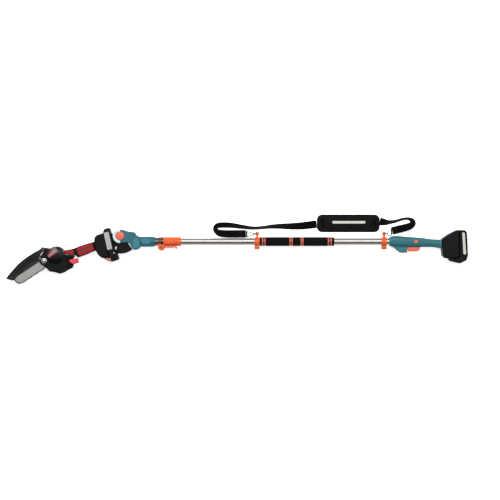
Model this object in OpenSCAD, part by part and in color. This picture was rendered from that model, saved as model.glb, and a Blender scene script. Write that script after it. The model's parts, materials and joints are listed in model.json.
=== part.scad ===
// Telescoping pole saw: a cordless 6 inch chainsaw on a swivel head, a telescoping pole with a
// flip lock and shoulder strap, and a rear control handle with a slide-on battery.
// The tool lies on its side: +X runs from the saw to the battery, -Y is the trigger side.

/* [Pole] */
// Outer diameter of the outer tube
outer_d = 26; // [24:0.5:28]
// Wall of both tubes
tube_wall = 1.2; // [1:0.1:1.5]
// Outer diameter of the inner tube
inner_d = 22; // [20:0.5:22]
// Length of the outer tube
outer_len = 930; // [760:10:1200]
// Length of the inner tube
inner_len = 848; // [700:8:900]
// Length of the flip lock's barrel
lock_len = 91; // [80:1:120]
// Outer diameter of the flip lock's barrel
lock_d = 35; // [33:1:40]
// Radius of the lugs that hold the lock lever's pin
lug_r = 13; // [11:1:14]
// Length of the lock lever from its pin
lever_len = 60; // [45:1:70]

/* [Grip and strap] */
// Diameter of the foam grip
grip_d = 35; // [32:1:44]
// Length of the foam grip
grip_len = 290; // [200:10:320]
// Distance from the front of the pole to the front strap collar
front_collar_x = 365; // [340:5:380]
// Width of a strap collar
collar_w = 20; // [14:1:24]
// Outer diameter of a strap collar
collar_d = 34; // [32:1:38]
// Width of the strap webbing
webbing_w = 30; // [25:1:32]
// Thickness of the strap webbing
webbing_t = 2; // [1.5:0.5:2.5]
// Length of the shoulder pad
pad_len = 243; // [200:1:250]
// Width of the shoulder pad
pad_w = 66; // [50:1:70]
// Thickness of the shoulder pad
pad_t = 12; // [8:1:16]

/* [Swivel head] */
// Outer diameter of the head's sleeve
sleeve_d = 37; // [34:1:44]
// Half of the head's width across its cheeks
head_half = 26; // [25:1:30]
// Radius of the round cheeks at the pivot
cheek_r = 30; // [28:1:31]
// Distance of the pivot above the pole's axis
pivot_lift = 22.8; // [18:0.5:26]
// Distance of the pivot from the front end of the outer tube
pivot_reach = 167.3; // [160:1:200]
// Angle of the saw below the pole's line
head_rest = 12.7; // [0:0.1:20]
// Radius of the swivel sector
sector_r = 70; // [60:1:70]
// Radius of the pivot button
button_r = 16.5; // [12:0.5:17]
// Radius of the pivot bolt
bolt_r = 5; // [4:0.5:6]

/* [Saw] */
// Angle of the guide bar below the saw's foot line
bar_droop = 20.8; // [15:0.1:25]
// Reach of the guide bar's tip from its clamping stud
bar_reach = 136; // [110:1:160]
// Width of the guide bar
bar_w = 43; // [38:1:44]
// Thickness of the guide bar
bar_t = 3; // [2:0.5:3]
// Height of the bar's middle plane over the tool's middle plane
bar_z = 14; // [13:0.5:15]
// Depth of the chain loop outside the bar
chain_h = 5; // [3:0.5:5]
// Radius of the drive sprocket
sprocket_r = 9.2; // [8:0.2:9.2]
// Module of the reduction gears
gear_module = 1.25; // [1:0.05:1.3]
// Teeth of the output gear
gear_teeth = 32; // [28:4:32]
// Teeth of the motor pinion
pinion_teeth = 12; // [12:1:12]
// Radius of the motor
motor_r = 22; // [18:1:22]
// Radius of the saw's motor dome
dome_r = 37.5; // [34:0.5:38]
// Radius of the bar knob
knob_r = 10.5; // [9:0.5:12]

/* [Battery and adapter] */
// Width of the battery and of the adapter
pack_w = 75; // [72:1:90]
// Thickness of the battery behind its foot
pack_t = 33; // [31:1:42]
// Length of the slide rail
rail_len = 76; // [60:1:80]
// Diameter of a battery cell
cell_d = 18.4; // [18:0.1:18.6]
// Length of a battery cell
cell_len = 65; // [65:1:65]

/* [Fits] */
// Running clearance on a radius
run_gap = 0.05; // [0.02:0.01:0.1]
// Clearance between separate pieces
free_gap = 0.5; // [0.3:0.1:0.8]
// Gap at the parting line of two shells
part_gap = 0.2; // [0.1:0.1:0.4]
// Wall of the moulded shells
wall = 2.6; // [2:0.2:3]

/* [Hidden] */
$fn = 48;
overcut = 1;

// Places along the pole, measured from the front end of the outer tube
pivot = [-pivot_reach, pivot_lift];
sleeve_back = -33;
sleeve_front = -92;
inner_front = sleeve_front + 4;
lock_front = -22;
handle_x = outer_len - 50;
rear_collar_x = handle_x - 20;
grip_x = front_collar_x + collar_w / 2 + free_gap;
seam_x = handle_x + 271;
rear_rail = [seam_x, -8];
rest_h = pack_w / 2;

// Places on the saw, measured from the pivot
seam_head = -61;
head_rail = [seam_head, -22];
stud = [-310, -30.9];
dome = [-262, -22];
spindle_bar = [50, 0];
spindle = stud + turned(spindle_bar, bar_droop);
gear_gap = gear_module * (gear_teeth + pinion_teeth) / 2;
motor_axis = spindle - [0, gear_gap];
guard_pivot = [19.7, 40.7];
guard_tip = [-163, 24.2];
nose = [-bar_reach + bar_w / 2, 0];
spindle_r = 4;
stud_r = 3;
cover_z = 9.3;
cover_top = 31;
gear_z = -9;
gear_h = 8;
shell_top = 9;
saw_half = rest_h - 1.5;

// Offset of the pole's frame in the row's frame
front_reach = head_to_pole(bar_to_head(guard_tip));
low_point = head_to_pole(bar_to_head(nose)).y - bar_w / 2 - chain_h - 2;
high_point = head_to_pole([-34.6, 39.5]).y;
back_x = seam_x + pack_t;
row_x = -(front_reach.x + back_x) / 2;
row_y = -(high_point + low_point) / 2;

function turned(p, a) = [p.x * cos(a) - p.y * sin(a), p.x * sin(a) + p.y * cos(a)];
function head_to_pole(p) = pivot + turned(p, head_rest);
function bar_to_head(p) = stud + turned(p, bar_droop);
function arc(c, r, a0, a1, n) = [for (i = [0:n]) let (a = a0 + (a1 - a0) * i / n) c + r * [cos(a), sin(a)]];
function shifted(pts, d) = [for (p = pts) p + d];

module in_pole() translate([row_x, row_y, rest_h]) children();
module in_head() in_pole() translate([pivot.x, pivot.y, 0]) rotate(head_rest) children();
module in_bar() in_head() translate([stud.x, stud.y, 0]) rotate(bar_droop) children();
module slab(pts, z0, z1) translate([0, 0, z0]) linear_extrude(z1 - z0) polygon(pts);
module block(x0, x1, y0, y1, z0, z1) translate([x0, y0, z0]) cube([x1 - x0, y1 - y0, z1 - z0]);
module along_x(x0, x1, r) translate([x0, 0, 0]) rotate([0, 90, 0]) cylinder(h = x1 - x0, r = r);
module along_z(p, r, z0, z1) translate([p.x, p.y, z0]) cylinder(h = z1 - z0, r = r);
module tube_x(x0, x1, r_out, r_in) difference() {
    along_x(x0, x1, r_out);
    along_x(x0 - overcut, x1 + overcut, r_in);
}

// One half of a moulded shell: an outline with a stepped edge, hollow towards the parting line
module shell_half(pts, half, lip = 1.6) difference() {
    union() {
        slab(pts, part_gap / 2, half - 2 * lip);
        translate([0, 0, part_gap / 2]) linear_extrude(half - part_gap / 2) offset(delta = -lip) polygon(pts);
    }
    translate([0, 0, -overcut]) linear_extrude(half - wall + overcut) offset(delta = -wall) polygon(pts);
}

// ---- Guide bar, chain and drive, in the bar's frame ----
sprocket_gap = 0.4;
chain_in = bar_w / 2 + 0.2;
taper_x = 18;
bar_back = 37;

module guide_bar() color("silver") in_bar() difference() {
    slab(concat(
        arc(nose, bar_w / 2, 90, 270, 24),
        [[taper_x, -bar_w / 2], [bar_back, -bar_w / 2 + 8.5], [bar_back, bar_w / 2 - 8.5], [taper_x, bar_w / 2]]),
        bar_z - bar_t / 2, bar_z + bar_t / 2);
    translate([0, 0, bar_z - bar_t]) linear_extrude(2 * bar_t) union() {
        translate([-6, -4]) square([32, 8]);
        translate([-6, 0]) circle(4);
        translate([26, 0]) circle(4);
    }
}

module saw_chain() color("dimgray") in_bar() {
    chain_out = bar_w / 2 + chain_h;
    chain_half = 2.2;
    round_in = sprocket_r + sprocket_gap;
    difference() {
        slab(concat(arc(nose, chain_out, 90, 270, 24), [[taper_x, -chain_out]],
            arc(spindle_bar, round_in + chain_h, -75, 75, 16), [[taper_x, chain_out]]),
            bar_z - chain_half, bar_z + chain_half);
        slab(concat(arc(nose, chain_in, 90, 270, 24), [[taper_x, -chain_in]],
            arc(spindle_bar, round_in, -75, 75, 16), [[taper_x, chain_in]]),
            bar_z - chain_half - overcut, bar_z + chain_half + overcut);
    }
    cutter_pitch = 15;
    for (i = [0:6], side = [-1, 1])
        translate([nose.x + 4 + i * cutter_pitch, side * (chain_out + 0.5), bar_z + 0.5])
            cube([7, 3, 3.4], center = true);
}

module star(teeth, r_tip, r_root, w) polygon([
    for (k = [0:teeth - 1], f = [-w, -w / 2, w / 2, w])
        let (r = abs(f) == w ? r_root : r_tip, a = (k + f) * 360 / teeth) r * [cos(a), sin(a)]
]);

module drive_sprocket() color("gray") in_head() translate([spindle.x, spindle.y, bar_z - 3])
    linear_extrude(6) difference() {
        star(7, sprocket_r, sprocket_r - 2, 0.3);
        circle(spindle_r);
    }

module gear(teeth, bore) linear_extrude(gear_h) difference() {
    pitch_r = gear_module * teeth / 2;
    star(teeth, pitch_r + 0.8 * gear_module, pitch_r - 1.15 * gear_module, 0.26);
    circle(bore);
}

module output_gear() color("gray") in_head() translate([spindle.x, spindle.y, 0]) {
    translate([0, 0, gear_z]) rotate(-90) gear(gear_teeth, spindle_r);
    translate([0, 0, gear_z - 3]) cylinder(h = bar_z + 3 - gear_z + 3, r = spindle_r);
}

module motor_pinion() color("gray") in_head() translate([motor_axis.x, motor_axis.y, gear_z])
    rotate(90 + 180 / pinion_teeth) gear(pinion_teeth, 1.6);

module saw_motor() color("black") in_head() {
    along_z(motor_axis, motor_r, -saw_half + wall + free_gap, gear_z - 3);
    along_z(motor_axis, 1.55, gear_z - 3.1, gear_z + gear_h);
}

module bar_knob() color("silver") in_bar() {
    translate([0, 0, shell_top - 4]) cylinder(h = cover_top - shell_top + 4 + 0.2, r = stud_r);
    translate([0, 0, cover_top + 0.2]) cylinder(h = 4, r = knob_r);
    translate([0, 0, cover_top + 4.2]) cylinder(h = 1.8, r = knob_r - 1.5);
}

// ---- Saw housing, in the head's frame ----
nose_pts = [[-189, -9.1], [-205, -9.1], [-228, -6.8], [-232, -22], [-189, -34.5], [-181, -46]];
handle_pts = concat([[-105.6, -6], [-104.5, -0.9], [-114.6, -0.9], [-131, -1.5], [-164, -4.5]], nose_pts,
    [[-173, -46], [-156, -44], [-140, -41.3], [-123, -37.8], [-105.6, -34.8]]);
body_pts = concat(arc(dome, dome_r, 12, 172, 20),
    [[-303, -45], [-306.5, -66], [-300, -75.5], [-276, -85], [-264, -93], [-246, -91], [-228, -84], [-211, -81],
    [-203.5, -68],
     [-203.5, -48], [-189.5, -36]]);
trigger_x = [-216, -178.6];
switch_top = 6.5;

nose_cut = [[-186, -8.3], [-205, -8.3], [-233.5, -5.4], [-233, -22.6], [-189.2, -35], [-181, -48]];

module body_cuts() {
    slab(nose_cut, -saw_half - overcut, saw_half);
    block(trigger_x[0] - 1, -190, -72, -41.4, -9.6, 9.6);
    along_z(spindle, spindle_r + run_gap, -overcut, saw_half);
    block(-229, -205, -44, -28, -9.6, switch_top + free_gap);
}

module saw_body_left() color([0.06, 0.06, 0.06]) in_head() difference() {
    union() {
        mirror([0, 0, 1]) shell_half(body_pts, saw_half);
        along_z(spindle, spindle_r + 3, -saw_half + 1, gear_z - 4);
    }
    body_cuts();
    along_z(spindle, spindle_r + run_gap, gear_z - 12, gear_z);
    along_z(motor_axis, motor_r + free_gap / 2, -saw_half + wall, 0);
}

module saw_body_right() color([0.06, 0.06, 0.06]) {
    in_head() difference() {
        union() {
            slab(body_pts, part_gap / 2, shell_top);
            slab(concat(arc(stud, 16, 110, 250, 10), [[-288, -60], [-283, -5]]), part_gap / 2, shell_top);
        }
        body_cuts();
        along_z(spindle, gear_module * (gear_teeth / 2 + 1.5), -overcut, 1.5);
        along_z(motor_axis, gear_module * (pinion_teeth / 2 + 1.5), -overcut, 1.5);
        translate([stud.x, stud.y, 0]) rotate(bar_droop) cylinder(h = 12, r = stud_r);
    }
    in_bar() difference() {
        union() {
            slab([[-12, -9], [28, -13], [28, 13], [-12, 9]], shell_top - 1, bar_z - bar_t / 2);
            hull() {
                translate([guard_pivot.x, guard_pivot.y, part_gap / 2]) cylinder(h = 6.5, r = 8, $fn = 32);
                translate([38, 12, part_gap / 2]) cylinder(h = 6.5, r = 14, $fn = 32);
            }
            along_z(guard_pivot, 6, part_gap / 2, 6.6);
        }
        translate([0, 0, -overcut]) cylinder(h = 20, r = stud_r);
        along_z(guard_pivot, 2.5, -overcut, 8);
        translate([spindle_bar.x, spindle_bar.y, -overcut]) cylinder(h = 12, r = spindle_r + run_gap);
        translate([spindle_bar.x, spindle_bar.y, -overcut])
            cylinder(h = 2.5, r = gear_module * (gear_teeth / 2 + 1.5));
    }
}

cover_pts = concat(arc(dome, dome_r - 1, 14, 116, 10), [for (p = [[26, 30.5], [9, 29], [-5, 19]]) bar_to_head(p)],
    arc(stud, 17, 125, 250, 12), [[-304, -66], [-298, -74], [-275, -82], [-264, -88.5], [-246, -86], [-232, -80],
    [-224, -60]]);

module sprocket_cover() color([0.1, 0.1, 0.1]) in_head() difference() {
    slab(cover_pts, cover_z, cover_top);
    translate([0, 0, cover_z - overcut]) linear_extrude(cover_top - wall - cover_z) offset(delta = -wall)
        polygon(cover_pts);
    translate([stud.x, stud.y, 0]) rotate(bar_droop) {
        block(-60, 42, -31, 31, cover_z - overcut, bar_z + 5);
        translate([0, 0, cover_z]) cylinder(h = 40, r = stud_r + run_gap);
    }
    along_z(spindle, spindle_r + 2, cover_z - overcut, bar_z + 6);
    slab(nose_cut, cover_z - overcut, cover_top + overcut);
}

module handle_half() difference() {
    shell_half(handle_pts, 16);
    block(trigger_x[0] - 1, trigger_x[1] + 1, -60, -38, -9.6, 9.6);
    block(-215, -201, -24, -7, -6, 6);
    block(-229, -205, -44, -28, -9.6, 9.6);
}
module saw_handle_left() color([0.8, 0.16, 0.2]) in_head() mirror([0, 0, 1]) handle_half();
module saw_handle_right() color([0.8, 0.16, 0.2]) in_head() handle_half();

module saw_trigger() color([0.85, 0.2, 0.28]) in_head()
    slab([[-216, -47], [-216, -58], [-204, -68], [-190, -67.5], [-178.6, -67], [-181.5, -57], [-179.5, -48.5]], -9, 9);

module saw_switch() color("black") in_head() block(-228, -206, -41, -29, -9, switch_top);

module saw_lock_button() color("black") in_head() block(-214, -202, -17, -8, -5, 5);

// ---- Slide rail shared by the adapter and the battery ----
tongue_stem = 17;
tongue_wide = 22;
blade_z = 8;

// The tongue stands on the pack's face at x = 0 and points to -x
module rail_tongue() difference() {
    union() {
        block(-4, 0.5, -rail_len / 2, rail_len / 2, -tongue_stem, tongue_stem);
        block(-8.5, -4.5, -rail_len / 2, rail_len / 2, -tongue_wide, tongue_wide);
        block(-4.6, -3.9, -rail_len / 2, rail_len / 2, -tongue_stem, tongue_stem);
    }
    for (side = [-1, 1]) block(-9, -4.2, rail_len / 2 - 24, rail_len / 2 + 1, side * blade_z - 1.2, side * blade_z + 1.2);
}

// The slot in the foot, open towards -y
module rail_slot() {
    block(-5, overcut, -rail_len, rail_len / 2 + free_gap, -tongue_stem - free_gap, tongue_stem + free_gap);
    block(-9, -4, -rail_len, rail_len / 2 + free_gap, -tongue_wide - free_gap, tongue_wide + free_gap);
}

module rail_blades() for (side = [-1, 1])
    block(-8.4, -5, rail_len / 2 - 14, rail_len / 2 + 4, side * blade_z - 0.5, side * blade_z + 0.5);

module rail_clips() for (side = [-1, 1])
    block(-8.2, -5, rail_len / 2 - 23.9, rail_len / 2 - 15, side * blade_z - 1.1, side * blade_z + 1.1);

module at_head_rail() in_head() translate([head_rail.x, head_rail.y, 0]) children();
module at_rear_rail() in_pole() translate([rear_rail.x, rear_rail.y, 0]) children();

// ---- Saw foot ----
foot_pts = [[-61.3, 24], [-64.5, 24.5], [-88, 22], [-98.5, 14.6], [-104, -2], [-105, -35], [-99, -55],
    [-89, -68.5], [-79, -73], [-76, -69.4], [-61.3, -69.4]];

module saw_foot() color([0.06, 0.06, 0.06]) {
    difference() {
        in_head() union() {
            slab(foot_pts, -rest_h + 3.5, rest_h - 3.5);
            translate([0, 0, -rest_h + 0.5]) linear_extrude(pack_w - 1) offset(delta = -3) polygon(foot_pts);
        }
        at_head_rail() rail_slot();
        in_head() translate([0, 0, -rest_h + 4]) linear_extrude(pack_w - 8)
            polygon([[-74, 20], [-87, 18], [-94.5, 11], [-100, -6], [-101, -34], [-95.5, -52], [-86, -64], [-74, -65]]);
        at_head_rail() for (side = [-1, 1])
            block(-8.5, -4.9, rail_len / 2 - 1, rail_len / 2 + 4.1, side * blade_z - 0.6, side * blade_z + 0.6);
    }
}

module saw_terminals() color("goldenrod") at_head_rail() rail_blades();

// ---- Adapter, in the head's frame ----
lip_x = -76;
adapter_pts = [[-61, 31], [-57, 34], [-54, 39], [-35.5, 39.5], [-32.8, 31], [-33.5, -43], [-27, -67.5],
    [-24.5, -89], [-53, -92], [-77.5, -75.8], [lip_x, -70], [-61, -70]];
latch_dir = [0.567, 0.824];
latch_face = [-65.2, -83.9];

// A latch button in a sloped lip: x along the lip, y into it
module latch_button(w) block(-w / 2, w / 2, -2, 6, -18, 18);
module at_latch(p) translate([p.x, p.y, 0]) rotate(-34.5) children();

module adapter_half(side) mirror([0, 0, side < 0 ? 1 : 0]) difference() {
    shell_half(adapter_pts, rest_h);
    at_latch(latch_face) block(-11, 11, -4, 11.5, -18.5, 18.5);
    translate([seam_head, head_rail.y, 0]) block(-overcut, wall + overcut, -rail_len / 2 - part_gap,
        rail_len / 2 + part_gap, -tongue_stem - part_gap, tongue_stem + part_gap);
    block(-38, -20, -70, 18, -15.4, 15.4);
}

module adapter_shell_left() color([0.08, 0.08, 0.08]) in_head() adapter_half(-1);
module adapter_shell_right() color([0.08, 0.08, 0.08]) in_head() adapter_half(1);

module adapter_latch() color([0.95, 0.42, 0.2]) in_head() at_latch(latch_face) latch_button(21);

module adapter_terminals() color("goldenrod") at_head_rail() rail_clips();

// Sector that swings in the fork, with the neck that carries the adapter and its rail block
module swivel_sector() color([0.07, 0.07, 0.07]) {
    in_head() difference() {
        union() {
            along_z([0, 0], 18, -15, 15);
            slab([[-37.5, 14], [0, 17.5], [0, -30], [-37.5, -42]], -15, 15);
            slab(concat([[-10, -8]], arc([0, 0], sector_r, -118, -62, 16), [[10, -8]]), -15, 15);
        }
        along_z([0, 0], bolt_r + run_gap, -16, 16);
        block(-45, -33.2, -75, -43, -16, 16);
    }
    in_head() block(-58.2, -37.4, -55, 12, -14, 14);
    at_head_rail() rail_tongue();
    in_head() block(-60.6, -58, -59, 15, -tongue_stem, tongue_stem);
}

// ---- Swivel head, in the pole's frame ----
fork_pts = [[-170, 46.6], [-160, 47.2], [-141.6, 40.5], [-112, 36.5], [-106, 25], [sleeve_front, 18.5],
    [-88, -18.4], [-98, -30.6], [-115, -32.6], [-122, -25.5], [-131, -8], [-140, -3.5], [-168, -6.6]];
cheek_in = 15.8;
screw_spots = [[-128, 31.5], [-126, 9.5], [-104, -24]];

module head_half_shell(side) mirror([0, 0, side < 0 ? 1 : 0]) difference() {
    union() {
        slab(fork_pts, part_gap / 2, head_half - 3);
        translate([0, 0, part_gap / 2]) linear_extrude(head_half - part_gap / 2) offset(delta = -2) polygon(fork_pts);
        intersection() {
            along_z(pivot, cheek_r, cheek_in, head_half);
            block(-250, 0, -60, 46.8, 0, 40);
        }
        intersection() {
            along_x(sleeve_front - 6, sleeve_back, sleeve_d / 2);
            block(-200, 0, -40, 40, part_gap / 2, 40);
        }
    }
    intersection() {
        along_z(pivot, sector_r + 1.5, -overcut, cheek_in);
        block(-260, -90, -60, 33, -overcut, cheek_in);
    }
    along_z(pivot, 19, -overcut, cheek_in);
    along_x(inner_front, 0, inner_d / 2);
    along_x(sleeve_front - 12, inner_front + 1, 8);
    along_z(pivot, bolt_r + run_gap, -overcut, head_half + overcut);
    if (side > 0) along_z(pivot, button_r + 0.4, cheek_in + 2.8, head_half + overcut);
    for (p = screw_spots) along_z(p, 1.6, -overcut, head_half - 6);
    for (p = screw_spots) if (side > 0) along_z(p, 3.4, head_half - 7, head_half + overcut);
}
module head_shell_left() color([0.15, 0.47, 0.54]) in_pole() head_half_shell(-1);
module head_shell_right() color([0.15, 0.47, 0.54]) in_pole() head_half_shell(1);

// The middle screw stays inside its cheek, clear of the swinging sector
module head_screws() color("dimgray") in_pole() for (p = screw_spots) {
    along_z(p, 1.55, p == screw_spots[1] ? cheek_in + 0.2 : -10, head_half - 7);
    along_z(p, 3.2, head_half - 7, head_half - 4);
}

module angle_dial() color([0.85, 0.87, 0.88]) in_pole()
    translate([pivot.x, pivot.y, head_half + 0.05]) rotate(115) rotate_extrude(angle = 155)
        translate([button_r + 1.5, 0]) square([cheek_r - button_r - 2.5, 0.8]);

module pivot_bolt() color("silver") in_pole() {
    along_z(pivot, bolt_r, -head_half - 0.2, cheek_in + 2.6);
    along_z(pivot, bolt_r + 4, -head_half - 4, -head_half - 0.1);
}

button_low = head_half - 2.6;
module pivot_button() color([0.92, 0.42, 0.22]) in_pole() {
    along_z(pivot, button_r, button_low, button_low + 8);
    along_z(pivot, button_r - 2, button_low + 7.9, button_low + 9.5);
}

module pivot_spring() color("silver") in_pole() translate([pivot.x, pivot.y, cheek_in + 2.9])
    difference() {
        cylinder(h = button_low - cheek_in - 3, r = 8);
        translate([0, 0, -overcut]) cylinder(h = 20, r = 6.8);
    }

module head_collar() color("silver") in_pole() tube_x(sleeve_back + 0.1, lock_front - 1, sleeve_d / 2 - 2, inner_d / 2);

// ---- Tubes and the cable in them ----
inner_back = inner_front + inner_len;
outer_in = outer_d / 2 - tube_wall;
module inner_tube() color([0.75, 0.75, 0.75]) in_pole()
    tube_x(inner_front, inner_back, inner_d / 2, inner_d / 2 - tube_wall);

module tube_bush() color("white") in_pole() difference() {
    union() {
        along_x(inner_back - 30, inner_back, outer_in - run_gap);
        along_x(inner_back, inner_back + 4, outer_in - run_gap);
    }
    along_x(inner_back - 31, inner_back, inner_d / 2);
    along_x(inner_back - overcut, inner_back + 5, 5);
}

module front_cable() color("black") in_pole() along_x(sleeve_front - 8, inner_back + 4, 3.5);

module coiled_cable() color("black") in_pole() along_x(inner_back + 5, handle_x + 49, 6);

module outer_tube() color([0.78, 0.77, 0.76]) in_pole() tube_x(0, outer_len, outer_d / 2, outer_in);

// ---- Flip lock ----
lever_pin = [lock_front + 14, -22];
pin_r = 2.5;

module lock_body() color([0.96, 0.42, 0.2]) in_pole() difference() {
    union() {
        along_x(lock_front + 12, lock_front + lock_len, lock_d / 2);
        along_x(lock_front, lock_front + 13, lock_d / 2 - 3);
        hull() for (side = [-1, 1]) {
            along_z(lever_pin, lug_r, side * 10.8 - 3, side * 10.8 + 3);
            along_z([lever_pin.x, -8], lug_r, side * 10.8 - 3, side * 10.8 + 3);
        }
    }
    along_x(0, lock_front + lock_len + overcut, outer_d / 2);
    along_x(lock_front - overcut, 0.5, inner_d / 2 + 0.4);
    block(lever_pin.x - 16, lever_pin.x + 22, -40, -12.2, -8, 8);
    along_z(lever_pin, pin_r, -15, 15);
    block(lever_pin.x - 20, lever_pin.x + 16, -40, -17.8, -20, -13.7);
}

module lock_band() color([0.16, 0.07, 0.05]) in_pole() difference() {
    tube_x(lock_front + 0.5, lock_front + 11.5, lock_d / 2 - 0.6, lock_d / 2 - 3);
    block(lock_front - 1, lock_front + 12, -20, 0, -15, 15);
}

module lock_pin() color("silver") in_pole() along_z(lever_pin, pin_r, -14.5, 14.5);

module lock_lever() color([0.96, 0.42, 0.2]) in_pole() difference() {
    tip = lever_pin.x + lever_len;
    union() {
        along_z(lever_pin, 9.3, -7.5, 7.5);
        slab([[lever_pin.x, -18.3], [lever_pin.x + 16, -18.3], [lever_pin.x + 16, -24.5], [lever_pin.x, -28]], -7.5, 7.5);
        slab([[lever_pin.x + 15, -18.3], [tip - 6, -18.3], [tip, -20], [tip, -26], [tip - 3, -26.5],
            [tip - 8, -23], [lever_pin.x + 15, -24.5]], -13, 13);
    }
    along_z(lever_pin, pin_r + run_gap, -15, 15);
}

// ---- Foam grip and strap collars ----
ring_w = 4;
ring_spots = [0.035, 0.07, 0.405, 0.435, 0.555, 0.58, 0.92, 0.96];
module foam_grip() color([0.06, 0.06, 0.06]) in_pole() difference() {
    tube_x(grip_x, grip_x + grip_len, grip_d / 2, outer_d / 2);
    for (f = ring_spots)
        tube_x(grip_x + f * grip_len - ring_w / 2, grip_x + f * grip_len + ring_w / 2, grip_d, grip_d / 2 - 1.5);
}

module grip_rings() color([0.92, 0.42, 0.22]) in_pole() for (f = ring_spots)
    tube_x(grip_x + f * grip_len - ring_w / 2, grip_x + f * grip_len + ring_w / 2, grip_d / 2 - 0.2, grip_d / 2 - 1.5);

ear_y = outer_d / 2 + 18;
module strap_collar(x) difference() {
    union() {
        along_x(x - collar_w / 2, x + collar_w / 2, collar_d / 2);
        block(x - collar_w / 2, x + collar_w / 2, -31, 0, -7, 7);
        block(x - 4, x + 4, 0, ear_y, -7, 7);
        along_z([x, ear_y], 8, -7, 7);
    }
    along_x(x - collar_w, x + collar_w, outer_d / 2);
    block(x - collar_w, x + collar_w, -40, 0, -1, 1);
    along_z([x, ear_y], 2.2, -10, 10);
    along_z([x, -24], 2.6, -10, 10);
}
module strap_collars() color([0.9, 0.42, 0.25]) in_pole() {
    strap_collar(front_collar_x);
    strap_collar(rear_collar_x);
}

// A flat ring of bar stock in the tool's middle plane
wire_w = 3.2;
module flat_ring(pts) translate([0, 0, -wire_w / 2]) linear_extrude(wire_w) difference() {
    polygon(pts);
    offset(delta = -wire_w) polygon(pts);
}

// A clevis on the collar's ear: a pin and two cheeks joined by a bar
module ear_clevis(x, dir) {
    along_z([x, ear_y], 2, -10, 10);
    for (side = [-1, 1])
        translate([x + dir * 6, ear_y, side * 8.7]) cube([18, 5, 2], center = true);
    translate([x + dir * 14, ear_y, 0]) cube([3, 5, 15.6], center = true);
}

hook_x = front_collar_x - 43;
module front_hook() color("silver") in_pole() {
    flat_ring(shifted([[0, -16.5], [0, 9], [30, 3], [30, -5]], [hook_x, ear_y]));
    ear_clevis(front_collar_x, -1);
}

module rear_ring() color("silver") in_pole() {
    flat_ring(shifted([[13, -9.5], [13, 16], [26, 16], [33, 9], [33, -3], [26, -9.5]], [rear_collar_x, ear_y]));
    ear_clevis(rear_collar_x, 1);
}

// ---- Rear handle ----
handle_half_w = 18;
rear_pts = shifted([[0, 15], [15, 22.4], [50, 20], [108, 16.6], [166, 9.5], [200, 8], [203.5, 8], [203.5, -28],
    [166, -21.5], [120, -22.4], [118, -24], [70, -24.5], [69, -44], [42, -44], [18, -25], [0, -15]], [handle_x, 0]);
rear_screws = shifted([[58, -34], [127.5, 2.5], [190, -16], [62, 13]], [handle_x, 0]);
lockoff = [handle_x + 103, 0];
lockoff_r = 7;
trigger_pin = [handle_x + 116, -18];

module rear_half_shell(side) mirror([0, 0, side < 0 ? 1 : 0]) difference() {
    union() {
        shell_half(rear_pts, handle_half_w);
        for (p = rear_screws) along_z(p, 4, part_gap / 2, handle_half_w - 1);
        slab(shifted([[0, 15], [15, 20], [52, 20], [52, -16], [15, -20], [0, -15]], [handle_x, 0]),
            part_gap / 2, handle_half_w - 2);
    }
    along_x(handle_x - overcut, outer_len, outer_d / 2);
    along_x(outer_len - overcut, outer_len + 4, 8);
    block(handle_x + 69.2, handle_x + 121, -50, -11, -8.6, 8.6);
    if (side > 0) along_z(lockoff, lockoff_r + 0.3, 0, 30);
    for (p = rear_screws) along_z(p, 1.6, -overcut, handle_half_w - 3);
    for (p = rear_screws) if (side > 0) along_z(p, 3.2, handle_half_w - 5, handle_half_w + overcut);
}
module rear_handle_left() color([0.17, 0.46, 0.52]) in_pole() rear_half_shell(-1);
module rear_handle_right() color([0.17, 0.46, 0.52]) in_pole() rear_half_shell(1);

module shell_screws() color("dimgray") in_pole() for (p = rear_screws) {
    along_z(p, 1.55, -12, handle_half_w - 5);
    along_z(p, 3, handle_half_w - 5, handle_half_w - 2.5);
}

module rear_trigger() color([0.88, 0.42, 0.25]) in_pole() difference() {
    slab(shifted([[70.8, -17], [71.8, -36], [76, -38.2], [85, -34.5], [99, -32.5], [110, -33.5], [117, -30],
        [120, -24], [120, -14], [112, -14]], [handle_x, 0]), -8, 8);
    along_z(trigger_pin, 2, -10, 10);
}

module rear_switch() color("black") in_pole() block(handle_x + 74, handle_x + 106, -8, 8, -9, 9);

module trigger_spring() color("silver") in_pole() translate([handle_x + 90, -8.1, 0]) rotate([90, 0, 0]) difference() {
    cylinder(h = 7, r = 4);
    translate([0, 0, -overcut]) cylinder(h = 10, r = 3.2);
}

module lockoff_button() color([0.88, 0.4, 0.25]) in_pole() {
    along_z(lockoff, lockoff_r, 13.5, 19.6);
    along_z(lockoff, lockoff_r - 1, 19.5, 20.6);
}

// ---- Battery foot and battery ----
rear_foot_pts = shifted([[-0.3, 53], [-8, 53], [-39, 38], [-67, 19], [-67, -20], [-65, -47], [-56, -56.5],
    [-42, -58.5], [-0.3, -55]], rear_rail);
module battery_foot() color([0.07, 0.07, 0.07]) difference() {
    union() {
        in_pole() slab(rear_foot_pts, -rest_h + 3.5, rest_h - 3.5);
        in_pole() translate([0, 0, -rest_h + 0.5]) linear_extrude(pack_w - 1) offset(delta = -3) polygon(rear_foot_pts);
    }
    at_rear_rail() rail_slot();
    in_pole() translate([0, 0, -rest_h + 4]) linear_extrude(pack_w - 8) polygon(shifted(
        [[-13, 46], [-38, 34], [-62, 17], [-62, -19], [-60, -45], [-53, -52], [-42, -54], [-13, -52]], rear_rail));
    at_rear_rail() for (side = [-1, 1])
        block(-14, -4.9, rail_len / 2 - 1, rail_len / 2 + 4.1, side * blade_z - 0.6, side * blade_z + 0.6);
    in_pole() at_latch(latch_rear) block(-7, 7, -4, 12, -19, 19);
}

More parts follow.
